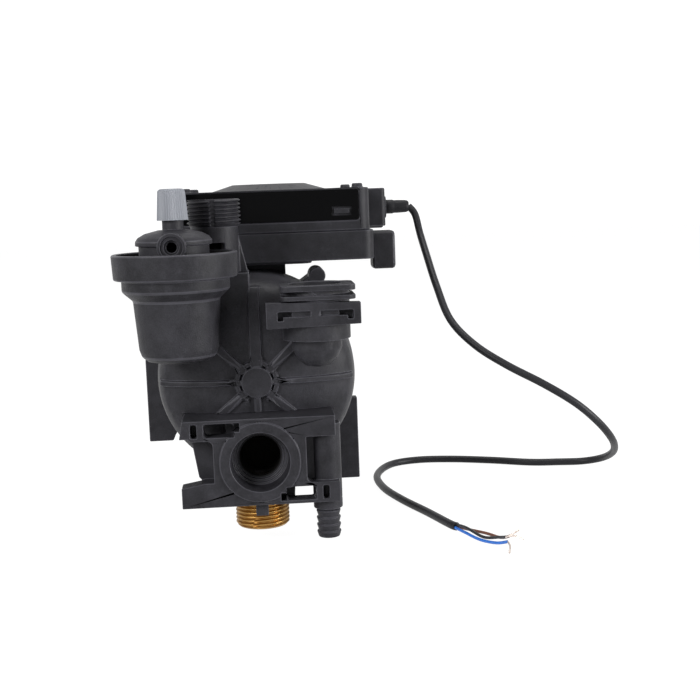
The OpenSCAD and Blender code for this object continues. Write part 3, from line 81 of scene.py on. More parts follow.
class Wire:
    """One socket of a material. Arithmetic on it adds the Math nodes that work it out."""

    def __init__(self, tree, socket):
        self.tree = tree
        self.socket = socket

    def node(self, kind, settings=(), sockets=(), out=0):
        """Adds a node: its settings first, then the value or the wire of each named socket."""
        new = self.tree.nodes.new("ShaderNode" + kind)
        for key, value in dict(settings).items():
            setattr(new, key, value)
        for key, value in dict(sockets).items():
            if isinstance(value, Wire):
                self.tree.links.new(value.socket, new.inputs[key])
            else:
                new.inputs[key].default_value = value
        return Wire(self.tree, new.outputs[out])

    def math(self, operation, *values):
        return self.node("Math", {"operation": operation}, dict(enumerate(values)))

    def __add__(self, other):
        return self.math("ADD", self, other)

    def __sub__(self, other):
        return self.math("SUBTRACT", self, other)

    def __rsub__(self, other):
        return self.math("SUBTRACT", other, self)

    def __mul__(self, other):
        return self.math("MULTIPLY", self, other)

    __radd__ = __add__
    __rmul__ = __mul__

    def clear(self, low, high):
        """0 below low, 1 above high, even between."""
        return self.node("MapRange", {"clamp": True}, {"Value": self, "From Min": low, "From Max": high})


class Finish(Wire):
    """A material being made; it starts with the piece's own coordinates in metres."""

    def __init__(self, name):
        self.material = bpy.data.materials.new(name)
        self.material.use_nodes = True
        self.tree = self.material.node_tree
        self.shader = self.tree.nodes["Principled BSDF"]
        self.place = self.node("TexCoord", out="Object")

    def noise(self, scale, detail=3, rough=0.5, place=None):
        """An uneven pattern from 0 to 1; scale is about its patches in a metre."""
        return self.node("TexNoise", (), {"Vector": place or self.place, "Scale": scale, "Detail": detail,
                                          "Roughness": rough})

    def stretched(self, scale, rotation=(0, 0, 0)):
        """The piece's coordinates, turned and stretched."""
        return self.node("Mapping", (), {"Vector": self.place, "Rotation": rotation, "Scale": scale})

    def mix(self, share, first, second):
        """A colour between two colours, through the Mix node's colour sockets."""
        first_socket = 6
        second_socket = 7
        mixed_socket = 2
        sockets = {0: share}
        for key, value in ((first_socket, first), (second_socket, second)):
            sockets[key] = value if isinstance(value, Wire) else (*value, 1)
        return self.node("Mix", {"data_type": "RGBA"}, sockets, mixed_socket)

    def bump(self, height, strength, depth, under=None):
        """A surface raised by height, up to depth in metres, on top of the relief under it."""
        sockets = {"Height": height, "Strength": strength, "Distance": depth}
        if under is not None:
            sockets["Normal"] = under
        return self.node("Bump", (), sockets)

    def set(self, **sockets):
        """Gives each of the shader's sockets its value or wire, and returns the material."""
        for key, value in sockets.items():
            name = key.replace("_", " ")
            if isinstance(value, Wire):
                self.tree.links.new(value.socket, self.shader.inputs[name])
            else:
                if isinstance(value, tuple) and len(value) == 3:
                    value = (*value, 1)
                self.shader.inputs[name].default_value = value
        return self.material


def seen_directly(wire):
    """1 where the camera, a reflection or a clear piece looks on, 0 for all other light."""
    rays = wire.node("LightPath").socket.node.outputs
    camera_ray = Wire(wire.tree, rays["Is Camera Ray"])
    glossy_ray = Wire(wire.tree, rays["Is Glossy Ray"])
    clear_ray = Wire(wire.tree, rays["Is Transmission Ray"])
    return wire.math("MAXIMUM", wire.math("MAXIMUM", camera_ray, glossy_ray), clear_ray)


def floor_finish():
    """White where the camera or a reflection sees it, plain and pale to all other light."""
    glow_share = 0.86
    glow_strength = 1.12
    finish = Finish("studio_white")
    finish.set(Base_Color=(0.9, 0.9, 0.9), Roughness=0.9)
    pale = Wire(finish.tree, finish.shader.outputs["BSDF"])
    glow = finish.node("Emission", (), {"Color": (1, 1, 1, 1), "Strength": glow_strength})
    both = finish.node("MixShader", (), {0: seen_directly(finish) * glow_share, 1: pale, 2: glow})
    finish.tree.links.new(both.socket, finish.tree.nodes["Material Output"].inputs["Surface"])
    return finish.material


floor_half = 4.0
floor_z = -7.3 * MM
floor_corners = [(x * floor_half, y * floor_half, floor_z)
                 for x, y in ((-1, -1), (1, -1), (1, 1), (-1, 1))]
floor_mesh = bpy.data.meshes.new("studio_floor")
floor_mesh.from_pydata(floor_corners, [], [(0, 1, 2, 3)])
floor_mesh.materials.append(floor_finish())
floor = bpy.data.objects.new("studio_floor", floor_mesh)
scene.collection.objects.link(floor)

seen_light = 0.92
fill_light = 0.2
world = bpy.data.worlds.new("studio_world")
scene.world = world
world.use_nodes = True
sky_light = seen_directly(Wire(world.node_tree, None)) * seen_light + fill_light
background = world.node_tree.nodes["Background"]
background.inputs["Color"].default_value = (1, 1, 1, 1)
world.node_tree.links.new(sky_light.socket, background.inputs["Strength"])


def soft_lamp(name, place, width, power):
    """A square lamp that points at the middle of the pump. Metres and watts."""
    pump_middle = Vector((0.02, 0.02, 0.09))
    lamp_data = bpy.data.lights.new(name, "AREA")
    lamp_data.shape = "SQUARE"
    lamp_data.size = width
    lamp_data.energy = power
    lamp = bpy.data.objects.new(name, lamp_data)
    scene.collection.objects.link(lamp)
    lamp.location = place
    lamp.rotation_euler = (pump_middle - Vector(place)).to_track_quat("-Z", "Y").to_euler()


soft_lamp("lamp_left", place=(-0.95, -1.0, 0.7), width=0.5, power=22)
soft_lamp("lamp_right", place=(1.3, -0.55, 0.3), width=0.5, power=24)
soft_lamp("lamp_top", place=(0.1, 0.15, 1.3), width=0.6, power=9)

# Housing mouldings
# The mouldings of the hydraulic housing: cover, volute body, vent chamber and head, sockets and
# brackets. They are black glass-filled plastic, with small round edges and a fine eroded grain.


def finished(name, mesh, body, material, replaced=()):
    """Puts a mesh in the scene as one piece of the object."""
    mesh.materials.clear()
    mesh.materials.append(material)
    piece = bpy.data.objects.new(name, mesh)
    scene.collection.objects.link(piece)
    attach(piece, body)
    if replaced:
        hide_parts(*replaced)
    return piece


def eased(node, width, split=False):
    """A copy of a solid's mesh, its sharp edges rounded; a face attribute is 1 on those edges, where a
    painted highlight goes.

    width is in millimetres, and split cuts the flat faces into triangles before the rounding."""
    merge_distance = 1e-6
    sliver_length = 5e-5
    flat_angle = math.radians(0.5)
    sharp_angle = math.radians(32)
    rim_slot = 1
    shape = bmesh.new()
    shape.from_mesh(frame["nodes"][node].data)
    bmesh.ops.remove_doubles(shape, verts=shape.verts, dist=merge_distance)
    bmesh.ops.dissolve_degenerate(shape, edges=shape.edges, dist=sliver_length)
    bmesh.ops.dissolve_limit(shape, angle_limit=flat_angle, verts=shape.verts, edges=shape.edges)
    if split:
        bmesh.ops.triangulate(shape, faces=shape.faces, ngon_method="BEAUTY")
    for face in shape.faces:
        face.smooth = True
    mesh = bpy.data.meshes.new(node + "_eased")
    shape.to_mesh(mesh)
    shape.free()
    if "custom_normal" in mesh.attributes:
        mesh.attributes.remove(mesh.attributes["custom_normal"])
    # Two empty slots: the bevel puts its own faces in the second, which marks the rounded edges for their
    # painted highlight.
    mesh.materials.append(None)
    mesh.materials.append(None)
    holder = bpy.data.objects.new(node + "_eased", mesh)
    scene.collection.objects.link(holder)
    ease = holder.modifiers.new("ease", "BEVEL")
    ease.width = width * MM
    ease.segments = 2
    ease.limit_method = "ANGLE"
    ease.angle_limit = sharp_angle
    ease.use_clamp_overlap = False
    ease.miter_outer = "MITER_ARC"
    ease.material = rim_slot
    even = holder.modifiers.new("even", "WEIGHTED_NORMAL")
    even.mode = "FACE_AREA_WITH_ANGLE"
    bpy.context.view_layer.update()
    done = bpy.data.meshes.new_from_object(holder.evaluated_get(bpy.context.evaluated_depsgraph_get()))
    bpy.data.objects.remove(holder)
    done.name = node + "_eased"
    rim = done.attributes.new("rim", "FLOAT", "FACE")
    rim.data.foreach_set("value", [float(face.material_index) for face in done.polygons])
    done.polygons.foreach_set("material_index", [0] * len(done.polygons))
    return done


def grained_plastic(name, low, high, grain, rough, dark=None):
    """Black plastic with the tool's eroded grain, faint flow marks and rubbed spots, and a painted highlight
    on its rounded edges.

    low and high are its darkest and palest colours, and dark, where given, marks a place darkened with
    painted shade."""
    finish = Finish(name)
    flow = finish.noise(38, detail=5, rough=0.6)
    mottled = finish.noise(190)
    eroded = finish.noise(1500, rough=0.65)
    rubbed = finish.noise(85, detail=6, rough=0.75).clear(0.58, 0.74)
    tone = finish.mix((flow * 0.45 + mottled * 0.25 + eroded * 0.3).clear(0.36, 0.64), low, high)
    rubbed_tone = tuple(1.8 * c for c in high)
    tone = finish.mix(rubbed * 0.35, tone, rubbed_tone)
    # Painted highlight: the rounded edges get a paler colour and a lower roughness than the faces.
    rim = finish.node("Attribute", {"attribute_name": "rim"}, out="Fac")
    rim_tone = tuple(2.1 * c for c in high)
    tone = finish.mix(rim * (0.35 + mottled * 0.4), tone, rim_tone)
    rough = rough + flow * 0.14 - rubbed * 0.08 - rim * 0.1
    # Painted shade: where dark is given, that place is darkened towards near black.
    if dark:
        shade = dark(finish)
        painted_shade_tone = (0.0012, 0.0009, 0.0007)
        tone = finish.mix(shade, tone, painted_shade_tone)
        rough = rough + shade * 0.5
    relief = finish.bump(eroded, grain, 0.0002, under=finish.bump(mottled, 0.12, 0.0003))
    return finish.set(Base_Color=tone, Roughness=rough, Specular_IOR_Level=0.12, Normal=relief)


deep_black = (0.0085, 0.0083, 0.0098)
worn_black = (0.027, 0.0265, 0.031)
housing_plastic = grained_plastic("housing_plastic", deep_black, worn_black, grain=0.6, rough=0.4)
edge_widths = {"dome_cover": 0.5, "volute_body": 0.6, "vent_chamber": 0.8, "clip_socket": 0.35,
               "left_rear_bracket": 0.6, "right_rear_bracket": 0.6, "vent_head": 0.35,
               "nipple_tongue": 0.3, "vent_outlet_ring": 0.3}
for node, edge_width in edge_widths.items():
    finished(node + "_moulded", eased(node, edge_width), "housing", housing_plastic, (node,))

# Port block
# The block at the foot of the housing, moulded in the same plastic: stepped heating port, bracket
# slots with round corners, open pockets and a foot. The inner bore of its port is darkened with painted
# shade.

port_axis_z = 35.15


def bore_shade_mask(finish):
    """The painted shade in the heating port's inner bore: 1 inside it, 0 outside it; radii and depths here
    are in metres.
    """
    apart = finish.node("SeparateXYZ", (), {0: finish.place}).socket.node
    x, y, z = (Wire(finish.tree, apart.outputs[axis]) for axis in "XYZ")
    height = z - port_axis_z * MM
    off_axis = finish.math("SQRT", x * x + height * height)
    inside = 1 - off_axis.clear(0.0100, 0.0112)
    behind_step = y.clear(-0.0078, -0.0050)
    past_end = y.clear(0.0104, 0.0106)
    return inside * behind_step * (1 - past_end)


def prism(shape, outline, front, back):
    """Adds a closed prism to a shape: an outline in x and z, drawn from front to back. Millimetres."""
    rings = [[shape.verts.new(Vector((x, y, z)) * MM) for x, z in outline] for y in (front, back)]
    faces = [shape.faces.new(rings[0]), shape.faces.new(rings[1])]
    for k in range(len(outline)):
        j = (k + 1) % len(outline)
        faces.append(shape.faces.new((rings[0][k], rings[0][j], rings[1][j], rings[1][k])))
    bmesh.ops.recalc_face_normals(shape, faces=faces)


def round_corners(shape, across, up, radius):
    """Fills the four corners of a slot in the block's front with quarter-round fillets."""
    slot_front = -19.6
    slot_back = -9.75
    steps = 5
    for x, inward in ((across[0], 1), (across[1], -1)):
        for z, upward in ((up[0], 1), (up[1], -1)):
            outline = [(x, z)]
            for k in range(steps + 1):
                turn = 0.5 * math.pi * k / steps
                outline.append((x + inward * radius * (1 - math.cos(turn)),
                                z + upward * radius * (1 - math.sin(turn))))
            prism(shape, outline, slot_front, slot_back)


block_mesh = eased("port_block", 0.4, split=True)
block_shape = bmesh.new()
block_shape.from_mesh(block_mesh)

# A row of slots above the port's axis and one below it, each with a wide and a narrow slot: the
# near and the far end from the axis, and the radius of the corners.
slot_near = 12.9
slot_far = 19.4
wide_slot = (11.9, 26.25, 1.7)
narrow_slot = (29.65, 32.55, 1.2)
for way_up in (1, -1):
    up = sorted((port_axis_z + way_up * slot_near, port_axis_z + way_up * slot_far))
    for near, far, radius in (wide_slot, narrow_slot):
        round_corners(block_shape, sorted((-way_up * far, -way_up * near)), up, radius)

# The right pocket has a flat floor in front of the drain's column.
pocket_left = 20.6
pocket_right = 30.2
pocket_foot = 24.2
pocket_top = 46.1
pocket_floor_front = -13.4
pocket_floor_back = -10.6
pocket_outline = [(pocket_left, pocket_foot), (pocket_right, pocket_foot), (pocket_right, pocket_top),
                  (pocket_left, pocket_top)]
prism(block_shape, pocket_outline, pocket_floor_front, pocket_floor_back)
block_shape.to_mesh(block_mesh)
block_shape.free()
# The housing's plastic, with painted shade in the port's inner bore.
bore_shaded_plastic = grained_plastic("bore_shaded_plastic", deep_black, worn_black, grain=0.35, rough=0.4,
                                  dark=bore_shade_mask)
finished("port_block_moulded", block_mesh, "housing", bore_shaded_plastic, ("port_block",))

# Vessel spigot
# The upright spigot for the expansion vessel's pipe, of the housing's plastic. Its thread is moulded
# with its neck and broken by one groove in front.

spigot_centre = (-17.6, 15)
spigot_low = 147.15
spigot_high = 160.35
spigot_crest = 13.2
spigot_root = 12.1
spigot_core = spigot_root - 0.3
spigot_bore = 11.2
spigot_foot = spigot_low - 0.6
spigot_groove = (math.radians(-92), math.radians(5))


def skin(shape, rows):
    """Joins each round row of points to the next one with faces."""
    for a, b in zip(rows, rows[1:]):
        for k in range(len(a)):
            j = (k + 1) % len(a)
            shape.faces.new((a[k], a[j], b[j], b[k])).smooth = True


def closed_mesh(name, shape, sharp_angle):
    """The mesh of a closed shape: faces turned outwards, edges sharp past an angle in degrees."""
    bmesh.ops.recalc_face_normals(shape, faces=shape.faces)
    mesh = bpy.data.meshes.new(name)
    shape.to_mesh(mesh)
    shape.free()
    mesh.set_sharp_from_angle(angle=math.radians(sharp_angle))
    return mesh


def threaded_wall(name, centre, low, high, crest, root, pitch, chamfer, rings, groove=None):
    """An upright thread, then the rings (radius, height) that close it. Millimetres and radians.

    The chamfer is taken off its lower end and half of it off the upper end. A groove down the
    thread, where given, is the angle it lies at and half its width."""
    steps = 144
    rows_in_pitch = 10
    flank = 1.6
    root_flat = 0.22
    depth = crest - root
    circle = [2 * math.pi * k / steps for k in range(steps)]
    count = int((high - low) / pitch * rows_in_pitch)
    rows = []
    for i in range(count + 1):
        z = low + (high - low) * i / count
        row = []
        for k, angle in enumerate(circle):
            phase = ((z - low) / pitch - k / steps) % 1
            tooth = min(1, max(0, flank * (1 - abs(2 * phase - 1)) - root_flat))
            limit = crest - max(0, chamfer - (z - low)) - max(0, 0.5 * chamfer - (high - z))
            radius = min(root + depth * tooth, max(limit, root - 0.4 * depth))
            if groove and abs((angle - groove[0] + math.pi) % (2 * math.pi) - math.pi) < groove[1]:
                radius = min(radius, root - 0.1 * depth)
            row.append((centre[0] + radius * math.cos(angle), centre[1] + radius * math.sin(angle), z))
        rows.append(row)
    for radius, z in rings:
        rows.append([(centre[0] + radius * math.cos(angle), centre[1] + radius * math.sin(angle), z)
                     for angle in circle])
    shape = bmesh.new()
    made = [[shape.verts.new(Vector(place) * MM) for place in row] for row in rows]
    skin(shape, made + made[:1])
    return closed_mesh(name, shape, 50)


# The solid's own wall is drawn in, so that it lies behind the thread.
spigot_mesh = eased("vessel_spigot", 0.5)
for vertex in spigot_mesh.vertices:
    outward = Vector((vertex.co.x / MM - spigot_centre[0], vertex.co.y / MM - spigot_centre[1]))
    if vertex.co.z / MM > spigot_foot and outward.length > spigot_core:
        outward *= spigot_core / outward.length
        vertex.co.x = (spigot_centre[0] + outward.x) * MM
        vertex.co.y = (spigot_centre[1] + outward.y) * MM
thread_mesh = threaded_wall("spigot_thread", spigot_centre, spigot_low, spigot_high, spigot_crest,
                            spigot_root, pitch=1.93, chamfer=1.2, groove=spigot_groove,
                            rings=((spigot_bore, spigot_high), (spigot_bore, spigot_low)))
whole = bmesh.new()
whole.from_mesh(spigot_mesh)
whole.from_mesh(thread_mesh)
whole.to_mesh(spigot_mesh)
whole.free()
finished("vessel_spigot_threaded", spigot_mesh, "housing", housing_plastic,
         ("vessel_spigot",))

# Return nipple
# The brass return nipple, turned from bar: a pipe thread with a chamfered end below the block and a
# plain tail with a ring groove inside it, held there by a plastic tongue.

nipple_thread_top = 13.6
nipple_crest = 13.22
nipple_root = 12.1
nipple_tail = 12.49
nipple_groove = 11.49
groove_low = 15.2
groove_high = 16.6
nipple_bore = 10
nipple_top = 20
nipple_rings = ((13.2, 13.95), (nipple_tail, 14), (nipple_tail, groove_low), (nipple_groove, groove_low),
                (nipple_groove, groove_high), (nipple_tail, groove_high), (nipple_tail, nipple_top),
                (nipple_bore, nipple_top), (nipple_bore, 0))


def brass_finish():
    """Turned brass, dull from use, with fine turning marks round its axis."""
    finish = Finish("turned_brass")
    turning = finish.noise(260, rough=0.6, place=finish.stretched((1, 1, 22)))
    tarnish = finish.noise(140, detail=4, rough=0.6)
    tone = finish.mix(tarnish.clear(0.35, 0.75), (0.29, 0.16, 0.045), (0.38, 0.225, 0.072))
    return finish.set(Base_Color=tone, Metallic=1.0, Roughness=0.26 + tarnish * 0.16 + turning * 0.08,
                      Normal=finish.bump(turning, 0.25, 0.00004))


brass = brass_finish()
nipple_mesh = threaded_wall("nipple_threaded", (0, 0), 0, nipple_thread_top, nipple_crest, nipple_root,
                            pitch=1.95, chamfer=1.3, rings=nipple_rings)
finished("nipple_threaded", nipple_mesh, "housing", brass, ("return_nipple",))

# Drain tail
# The barbed tail of the drain, of the housing's plastic. Its spindle sits in the block's column and
# turns there to open the drain.

finished("drain_tail_moulded", eased("drain_tail", 0.3), "drain", housing_plastic,
         ("drain_tail",))

# Vent cap
# The light grey cap of the air vent, moulded in polypropylene with fine ribs for the fingers, and
# screwed on the head's neck.

cap_low, cap_high = (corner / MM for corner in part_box("vent_cap"))
cap_centre = ((cap_low.x + cap_high.x) / 2, (cap_low.y + cap_high.y) / 2)


def cap_finish():
    """Grey plastic with faint flow marks and a little grime."""
    finish = Finish("cap_grey")
    flow = finish.noise(70, detail=4)
    grime = finish.noise(260, detail=5, rough=0.7).clear(0.58, 0.8)
    tone = finish.mix(flow, (0.132, 0.14, 0.16), (0.16, 0.168, 0.188))
    return finish.set(Base_Color=finish.mix(grime * 0.25, tone, (0.19, 0.195, 0.215)),
                      Roughness=0.48 + flow * 0.12,
                      Normal=finish.bump(finish.noise(2400, detail=2), 0.25, 0.00008))


def ribbed_cap(name, centre, low, high, wide, narrow, bore, floor, ribs, depth):
    """A tapered cap with upright ribs round it, hollow from below. Sizes in millimetres."""
    steps = ribs * 6
    pole = 0.02
    # Each row: its height, its radius and its share of the ribs' depth.
    outer_rows = [(low, wide, 0),
                  (low + 0.25, wide, 1),
                  (high - 1.3, narrow + 0.25, 1),
                  (high - 0.6, narrow - 0.1, 0.4),
                  (high - 0.15, narrow - 0.75, 0),
                  (high, narrow - 1.6, 0),
                  (high, pole, 0)]
    inner_rows = [(floor, pole, 0), (floor, bore, 0), (low, bore, 0)]
    shape = bmesh.new()
    rows = []
    for z, radius, share in outer_rows + inner_rows:
        row = []
        for k in range(steps):
            angle = 2 * math.pi * k / steps
            wave = 0.5 - 0.5 * math.cos(2 * math.pi * ribs * k / steps)
            r = radius - share * depth * wave
            place = Vector((centre[0] + r * math.cos(angle), centre[1] + r * math.sin(angle), z))
            row.append(shape.verts.new(place * MM))
        rows.append(row)
    outer = rows[:len(outer_rows)]
    inner = rows[len(outer_rows):]
    skin(shape, outer)
    skin(shape, inner + outer[:1])
    shape.faces.new(outer[-1])
    shape.faces.new(inner[0])
    return closed_mesh(name, shape, 40)


cap_mesh = ribbed_cap("vent_cap_ribbed", cap_centre, cap_low.z, cap_high.z, wide=7.35, narrow=6.2,
                      bore=5.06, floor=cap_high.z - 1.9, ribs=40, depth=0.3)
finished("vent_cap_ribbed", cap_mesh, "cap", cap_finish(), ("vent_cap",))

# Inner pieces
# The parts inside the pump and the box: impeller, rotor, windings, rings, float, board and screws.
# They show through the port, or when a piece is taken off, and keep the shapes of their solids.


def plain_finish(name, low, high, rough, metal=0.0):
    """A slightly patchy finish between two colours."""
    finish = Finish(name)
    patch = finish.noise(300, detail=4)
    return finish.set(Base_Color=finish.mix(patch, low, high), Roughness=rough + patch * 0.12, Metallic=metal,
                      Normal=finish.bump(finish.noise(1800, detail=2), 0.2, 0.00006))


inner_finishes = {
    "inner_plastic": plain_finish("impeller_plastic", (0.03, 0.03, 0.03), (0.06, 0.06, 0.06), 0.45),
    "seal_rubber": plain_finish("seal_rubber", (0.012, 0.012, 0.012), (0.02, 0.02, 0.02), 0.55),
    "float_white": plain_finish("natural_plastic", (0.6, 0.59, 0.55), (0.72, 0.71, 0.67), 0.45),
    "steel": plain_finish("stainless_steel", (0.48, 0.48, 0.49), (0.62, 0.62, 0.63), 0.28, metal=1.0),
    "rotor_steel": plain_finish("turned_sleeve", (0.36, 0.36, 0.37), (0.5, 0.5, 0.51), 0.3, metal=1.0),
    "lamination": plain_finish("stator_sheet", (0.16, 0.16, 0.17), (0.3, 0.3, 0.31), 0.42, metal=1.0),
    "capacitor_sleeve": plain_finish("capacitor_sleeve", (0.02, 0.02, 0.05), (0.04, 0.04, 0.08), 0.25),
    "ceramic": plain_finish("ground_ceramic", (0.7, 0.68, 0.64), (0.84, 0.82, 0.78), 0.3),
    "copper": plain_finish("enamelled_copper", (0.42, 0.16, 0.06), (0.62, 0.27, 0.12), 0.25, metal=1.0),
    "board_green": plain_finish("lacquered_board", (0.015, 0.09, 0.035), (0.03, 0.15, 0.06), 0.25),
    "brass": brass}
slot_of_node = {part["node"]: part["material_slot"] for part in frame["record"]["subparts"]}
for node, solid in frame["nodes"].items():
    if not solid.hide_render and slot_of_node[node] in inner_finishes:
        solid.data.materials.clear()
        solid.data.materials.append(inner_finishes[slot_of_node[node]])

# Motor housing and control box
# The motor's round housing and the box that stands on its saddle: tub, cover, connector housing,
# gland collar and latch, with a plug pushed into the tub's side. All are a plainer black plastic.

box_black = (0.0085, 0.0084, 0.0098)
box_worn_black = (0.0215, 0.0212, 0.0248)
box_plastic = grained_plastic("box_plastic", box_black, box_worn_black, grain=0.4, rough=0.4)
box_edge_widths = {"box_tub": 0.8, "box_cover": 0.8, "connector_housing": 0.8, "gland_collar": 0.4,
                   "blanking_plug": 1.5, "motor_housing": 0.6, "panel_latch": 0.2}
for node, edge_width in box_edge_widths.items():
    body = "plug" if node == "blanking_plug" else "housing"
    finished(node + "_moulded", eased(node, edge_width), body, box_plastic, (node,))

# Front panel
# The glossy dark panel of the box, a smooth tinted plastic let into the cover. A small window at its
# right shows the latch.


def panel_finish():
    """Polished plastic with a little dust and a few hairlines."""
    finish = Finish("panel_gloss")
    haze = finish.noise(45, detail=4)
    dust = finish.noise(2200, detail=2, rough=0.7).clear(0.7, 0.85)
    scratched = finish.stretched((1, 1, 16), rotation=(0.4, 0.9, 0.3))
    hairline = finish.noise(700, detail=2, place=scratched).clear(0.62, 0.8)
    return finish.set(Base_Color=finish.mix(dust * 0.05, (0.0012, 0.0012, 0.0014), (0.2, 0.2, 0.2)),
                      Roughness=0.12 + haze * 0.08 + hairline * 0.05, Specular_IOR_Level=0.045,
                      Normal=finish.bump(haze, 0.06, 0.0004))


finished("front_panel_polished", eased("front_panel", 0.15), "housing", panel_finish(),
         ("front_panel",))

# Cable gland
# The soft black gland of the lead, a tapering rubber strain relief moulded on its sheath and held in
# the collar on the side of the box.

gland_rubber = grained_plastic("gland_rubber", (0.009, 0.009, 0.0103), (0.015, 0.015, 0.0175), grain=0.3,
                               rough=0.45)
gland_low, gland_high = (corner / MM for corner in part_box("cable_gland"))
gland_y = (gland_low.y + gland_high.y) / 2
gland_z = (gland_low.z + gland_high.z) / 2
gland_radius = (gland_high.z - gland_low.z) / 2
gland_length = gland_high.x - gland_low.x
gland_chamfer = 0.3
# How far the skin lies inside the full radius, and at which share of the length.
gland_taper = ((0, 0.3), (0.25, 0.34), (0.35, 0.4), (0.3, 0.5), (0.5, 0.86), (0.8, 0.95), (1.4, 1))
gland_profile = [(gland_radius - gland_chamfer, 0), (gland_radius, gland_chamfer)]
gland_profile += [(gland_radius - inset, share * gland_length) for inset, share in gland_taper]


def turned_gland(name, profile):
    """A closed solid turned round the gland's axis, from its radius at places along that axis."""
    steps = 96
    shape = bmesh.new()
    rows = []
    for radius, along in profile:
        row = []
        for k in range(steps):
            angle = 2 * math.pi * k / steps
            place = Vector((gland_low.x + along, gland_y + radius * math.cos(angle),
                            gland_z + radius * math.sin(angle)))
            row.append(shape.verts.new(place * MM))
        rows.append(row)
    skin(shape, rows)
    shape.faces.new(rows[0])
    shape.faces.new(rows[-1])
    return closed_mesh(name, shape, 50)


gland_mesh = turned_gland("cable_gland_moulded", gland_profile)
finished("cable_gland_moulded", gland_mesh, "housing", gland_rubber, ("cable_gland",))

# Lead
# The thin black signal lead: an extruded soft sheath of 4.2 mm round three insulated cores, drawn
# tight through the gland and lying in one loose bend on the table, its end stripped and bare.

lead_route = [
    (93.2, 130, 152.1), (97, 129.5, 147), (99, 125, 136), (101, 112, 123), (103.5, 94, 107),
    (108.5, 78, 89), (119.5, 64, 76), (135, 54, 65.5), (154, 49, 55), (171, 47, 44),
    (184, 50, 32.5), (194, 60, 21.5), (201, 77, 12), (204, 94, 4.5), (202, 109, -1.5),
    (193, 117, -4.6), (179, 119, -4.8), (162, 122, -4.8), (140, 133, -4.8), (116, 142, -4.8),
    (95, 144, -4.8), (78, 135, -4.8), (67.5, 109, -4.8), (68, 79, -4.8), (75, 50, -4.8),
    (85, 21, -4.8), (93, -4, -4.8), (95.5, -9, -4.8)]
core_routes = {
    "blue": [(94.8, -9.56, -5.25), (98, -18, -5.4), (103.5, -30, -6), (109.5, -40, -5),
             (114, -44, -3.5)],
    "brown": [(96.2, -8.44, -5.25), (101, -17, -4.6), (107, -28, -3.6), (112, -37, -3.4),
              (115, -42, -1.5)],
    "black": [(95.5, -9, -3.9), (99.2, -17.6, -3.4), (105.2, -29.6, -4.9), (111, -39, -2.6),
              (113, -44, -1.2)]}
tip_routes = {
    "blue": [(114, -44, -3.5), (114, -49, -4), (112.5, -55, -5.5)],
    "brown": [(115, -42, -1.5), (118, -44, -1), (121, -46.5, -2)],
    "black": [(113, -44, -1.2), (115.5, -46, 0.5), (119, -46, 2.5)]}
core_colours = {"blue": (0.02, 0.13, 0.5), "brown": (0.13, 0.05, 0.03), "black": (0.012, 0.012, 0.013)}
lead_radius = 2.1 * MM
core_radius = 0.75 * MM
strand_radius = 0.16 * MM
outer_strands = 6


def smooth_way(points):
    """The same smooth curve as the solid tube follows, in metres."""
    steps = 6
    points = [Vector(p) * MM for p in points]
    way = []
    for i in range(len(points) - 1):
        a = points[max(i - 1, 0)]
        b = points[i]
        c = points[i + 1]
        d = points[min(i + 2, len(points) - 1)]
        for k in range(steps):
            t = k / steps
            way.append(0.5 * (2 * b + (c - a) * t + (2 * a - 5 * b + 4 * c - d) * t * t
                              + (3 * b - a - 3 * c + d) * t * t * t))
    way.append(points[-1])
    return way


def way_length(way):
    return sum((q - p).length for p, q in zip(way, way[1:]))


def wound_way(way, turn):
    """The way of one strand: numbers 0 to 5 wind round number 6 and open a little towards the end."""
    gap = 1.9 * strand_radius
    opening = 0.25
    twist = 0.42
    leaning_up = Vector((0.05, 0.02, 1))
    wound = []
    for i, place in enumerate(way):
        along = (way[min(i + 1, len(way) - 1)] - way[max(i - 1, 0)]).normalized()
        side = along.cross(leaning_up).normalized()
        lift = along.cross(side)
        spread = 0 if turn == outer_strands else gap * (1 + opening * i / len(way))
        angle = 2 * math.pi * turn / outer_strands + i * twist
        wound.append(place + spread * (math.cos(angle) * side + math.sin(angle) * lift))
    return wound


def round_strand(name, way, radius, finish, resolution):
    """A curve with a round section along the way: a sheath, a core or a strand."""
    curve = bpy.data.curves.new(name, "CURVE")
    curve.dimensions = "3D"
    curve.bevel_depth = radius
    curve.bevel_resolution = resolution
    curve.use_fill_caps = True
    line = curve.splines.new("POLY")
    line.points.add(len(way) - 1)
    for point, place in zip(line.points, way):
        point.co = (*place, 1)
    line.use_smooth = True
    strand = bpy.data.objects.new(name, curve)
    scene.collection.objects.link(strand)
    curve.materials.append(finish)
    return strand


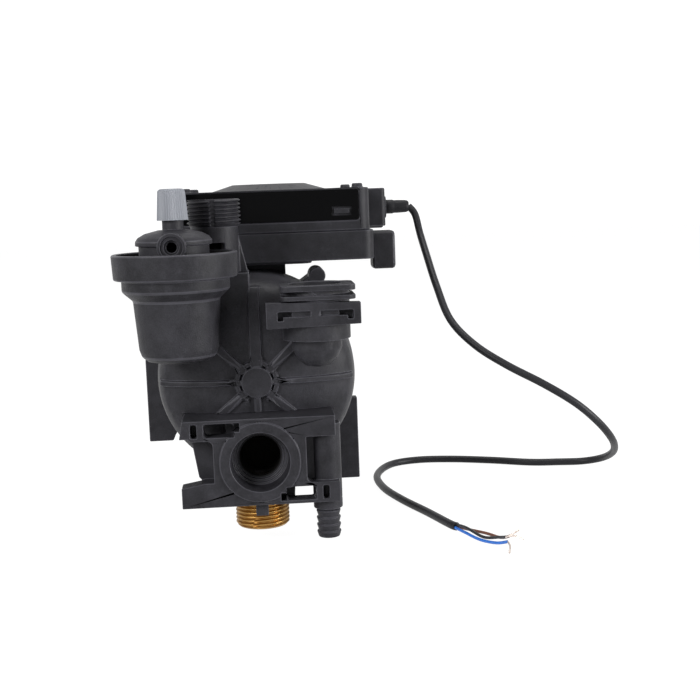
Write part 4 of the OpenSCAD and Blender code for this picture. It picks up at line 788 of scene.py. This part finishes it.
def one_mesh(name, strands):
    """Makes one mesh of several strands and removes their curves."""
    bpy.context.view_layer.update()
    graph = bpy.context.evaluated_depsgraph_get()
    bundle = bmesh.new()
    for strand in strands:
        piece = bpy.data.meshes.new_from_object(strand.evaluated_get(graph))
        bundle.from_mesh(piece)
        bpy.data.meshes.remove(piece)
        bpy.data.objects.remove(strand)
    mesh = bpy.data.meshes.new(name)
    bundle.to_mesh(mesh)
    bundle.free()
    mesh.shade_smooth()
    return mesh


def sheath_finish():
    """Soft black sheath, a little dusty, with the marks of its drawing."""
    finish = Finish("lead_sheath")
    drawn = finish.noise(420, detail=2)
    haze = finish.noise(60, detail=4)
    dust = finish.noise(1500, detail=2, rough=0.7).clear(0.66, 0.82)
    tone = finish.mix(haze, (0.008, 0.008, 0.0095), (0.017, 0.017, 0.0195))
    return finish.set(Base_Color=finish.mix(dust * 0.15, tone, (0.12, 0.12, 0.12)),
                      Roughness=0.36 + haze * 0.14 + dust * 0.2, Specular_IOR_Level=0.16,
                      Normal=finish.bump(drawn, 0.25, 0.00012))


def core_finish(name, colour):
    """Smooth coloured insulation."""
    finish = Finish(name)
    haze = finish.noise(300)
    darker = tuple(0.7 * c for c in colour)
    return finish.set(Base_Color=finish.mix(haze, darker, colour), Roughness=0.3 + haze * 0.15,
                      Normal=finish.bump(finish.noise(1800, detail=2), 0.2, 0.00005))


def tinned_finish():
    """Copper strands with a thin, uneven coat of tin."""
    finish = Finish("tinned_strands")
    tin = finish.noise(2500)
    return finish.set(Base_Color=finish.mix(tin, (0.55, 0.42, 0.34), (0.82, 0.8, 0.78)), Metallic=1.0,
                      Roughness=0.28 + tin * 0.2)


lead_way = smooth_way(lead_route)
sheath = round_strand("lead_sheath_drawn", lead_way, lead_radius, sheath_finish(), resolution=8)
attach(sheath, "housing")
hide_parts("lead_sheath")
way_length(lead_way)

tinned = tinned_finish()
for tint, route in core_routes.items():
    core_way = smooth_way(route)
    insulation = core_finish(f"{tint}_core", core_colours[tint])
    core = round_strand(f"{tint}_core_drawn", core_way, core_radius, insulation, resolution=6)
    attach(core, "housing")
    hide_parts(f"{tint}_core")
    tip_way = smooth_way(tip_routes[tint])
    strands = [round_strand(f"{tint}_strand_{turn}", wound_way(tip_way, turn), strand_radius, tinned,
                            resolution=2)
               for turn in range(outer_strands + 1)]
    tip = finished(f"{tint}_tip", one_mesh(f"{tint}_tip", strands), "housing", tinned)
    way_length(core_way)
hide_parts("core_ends")
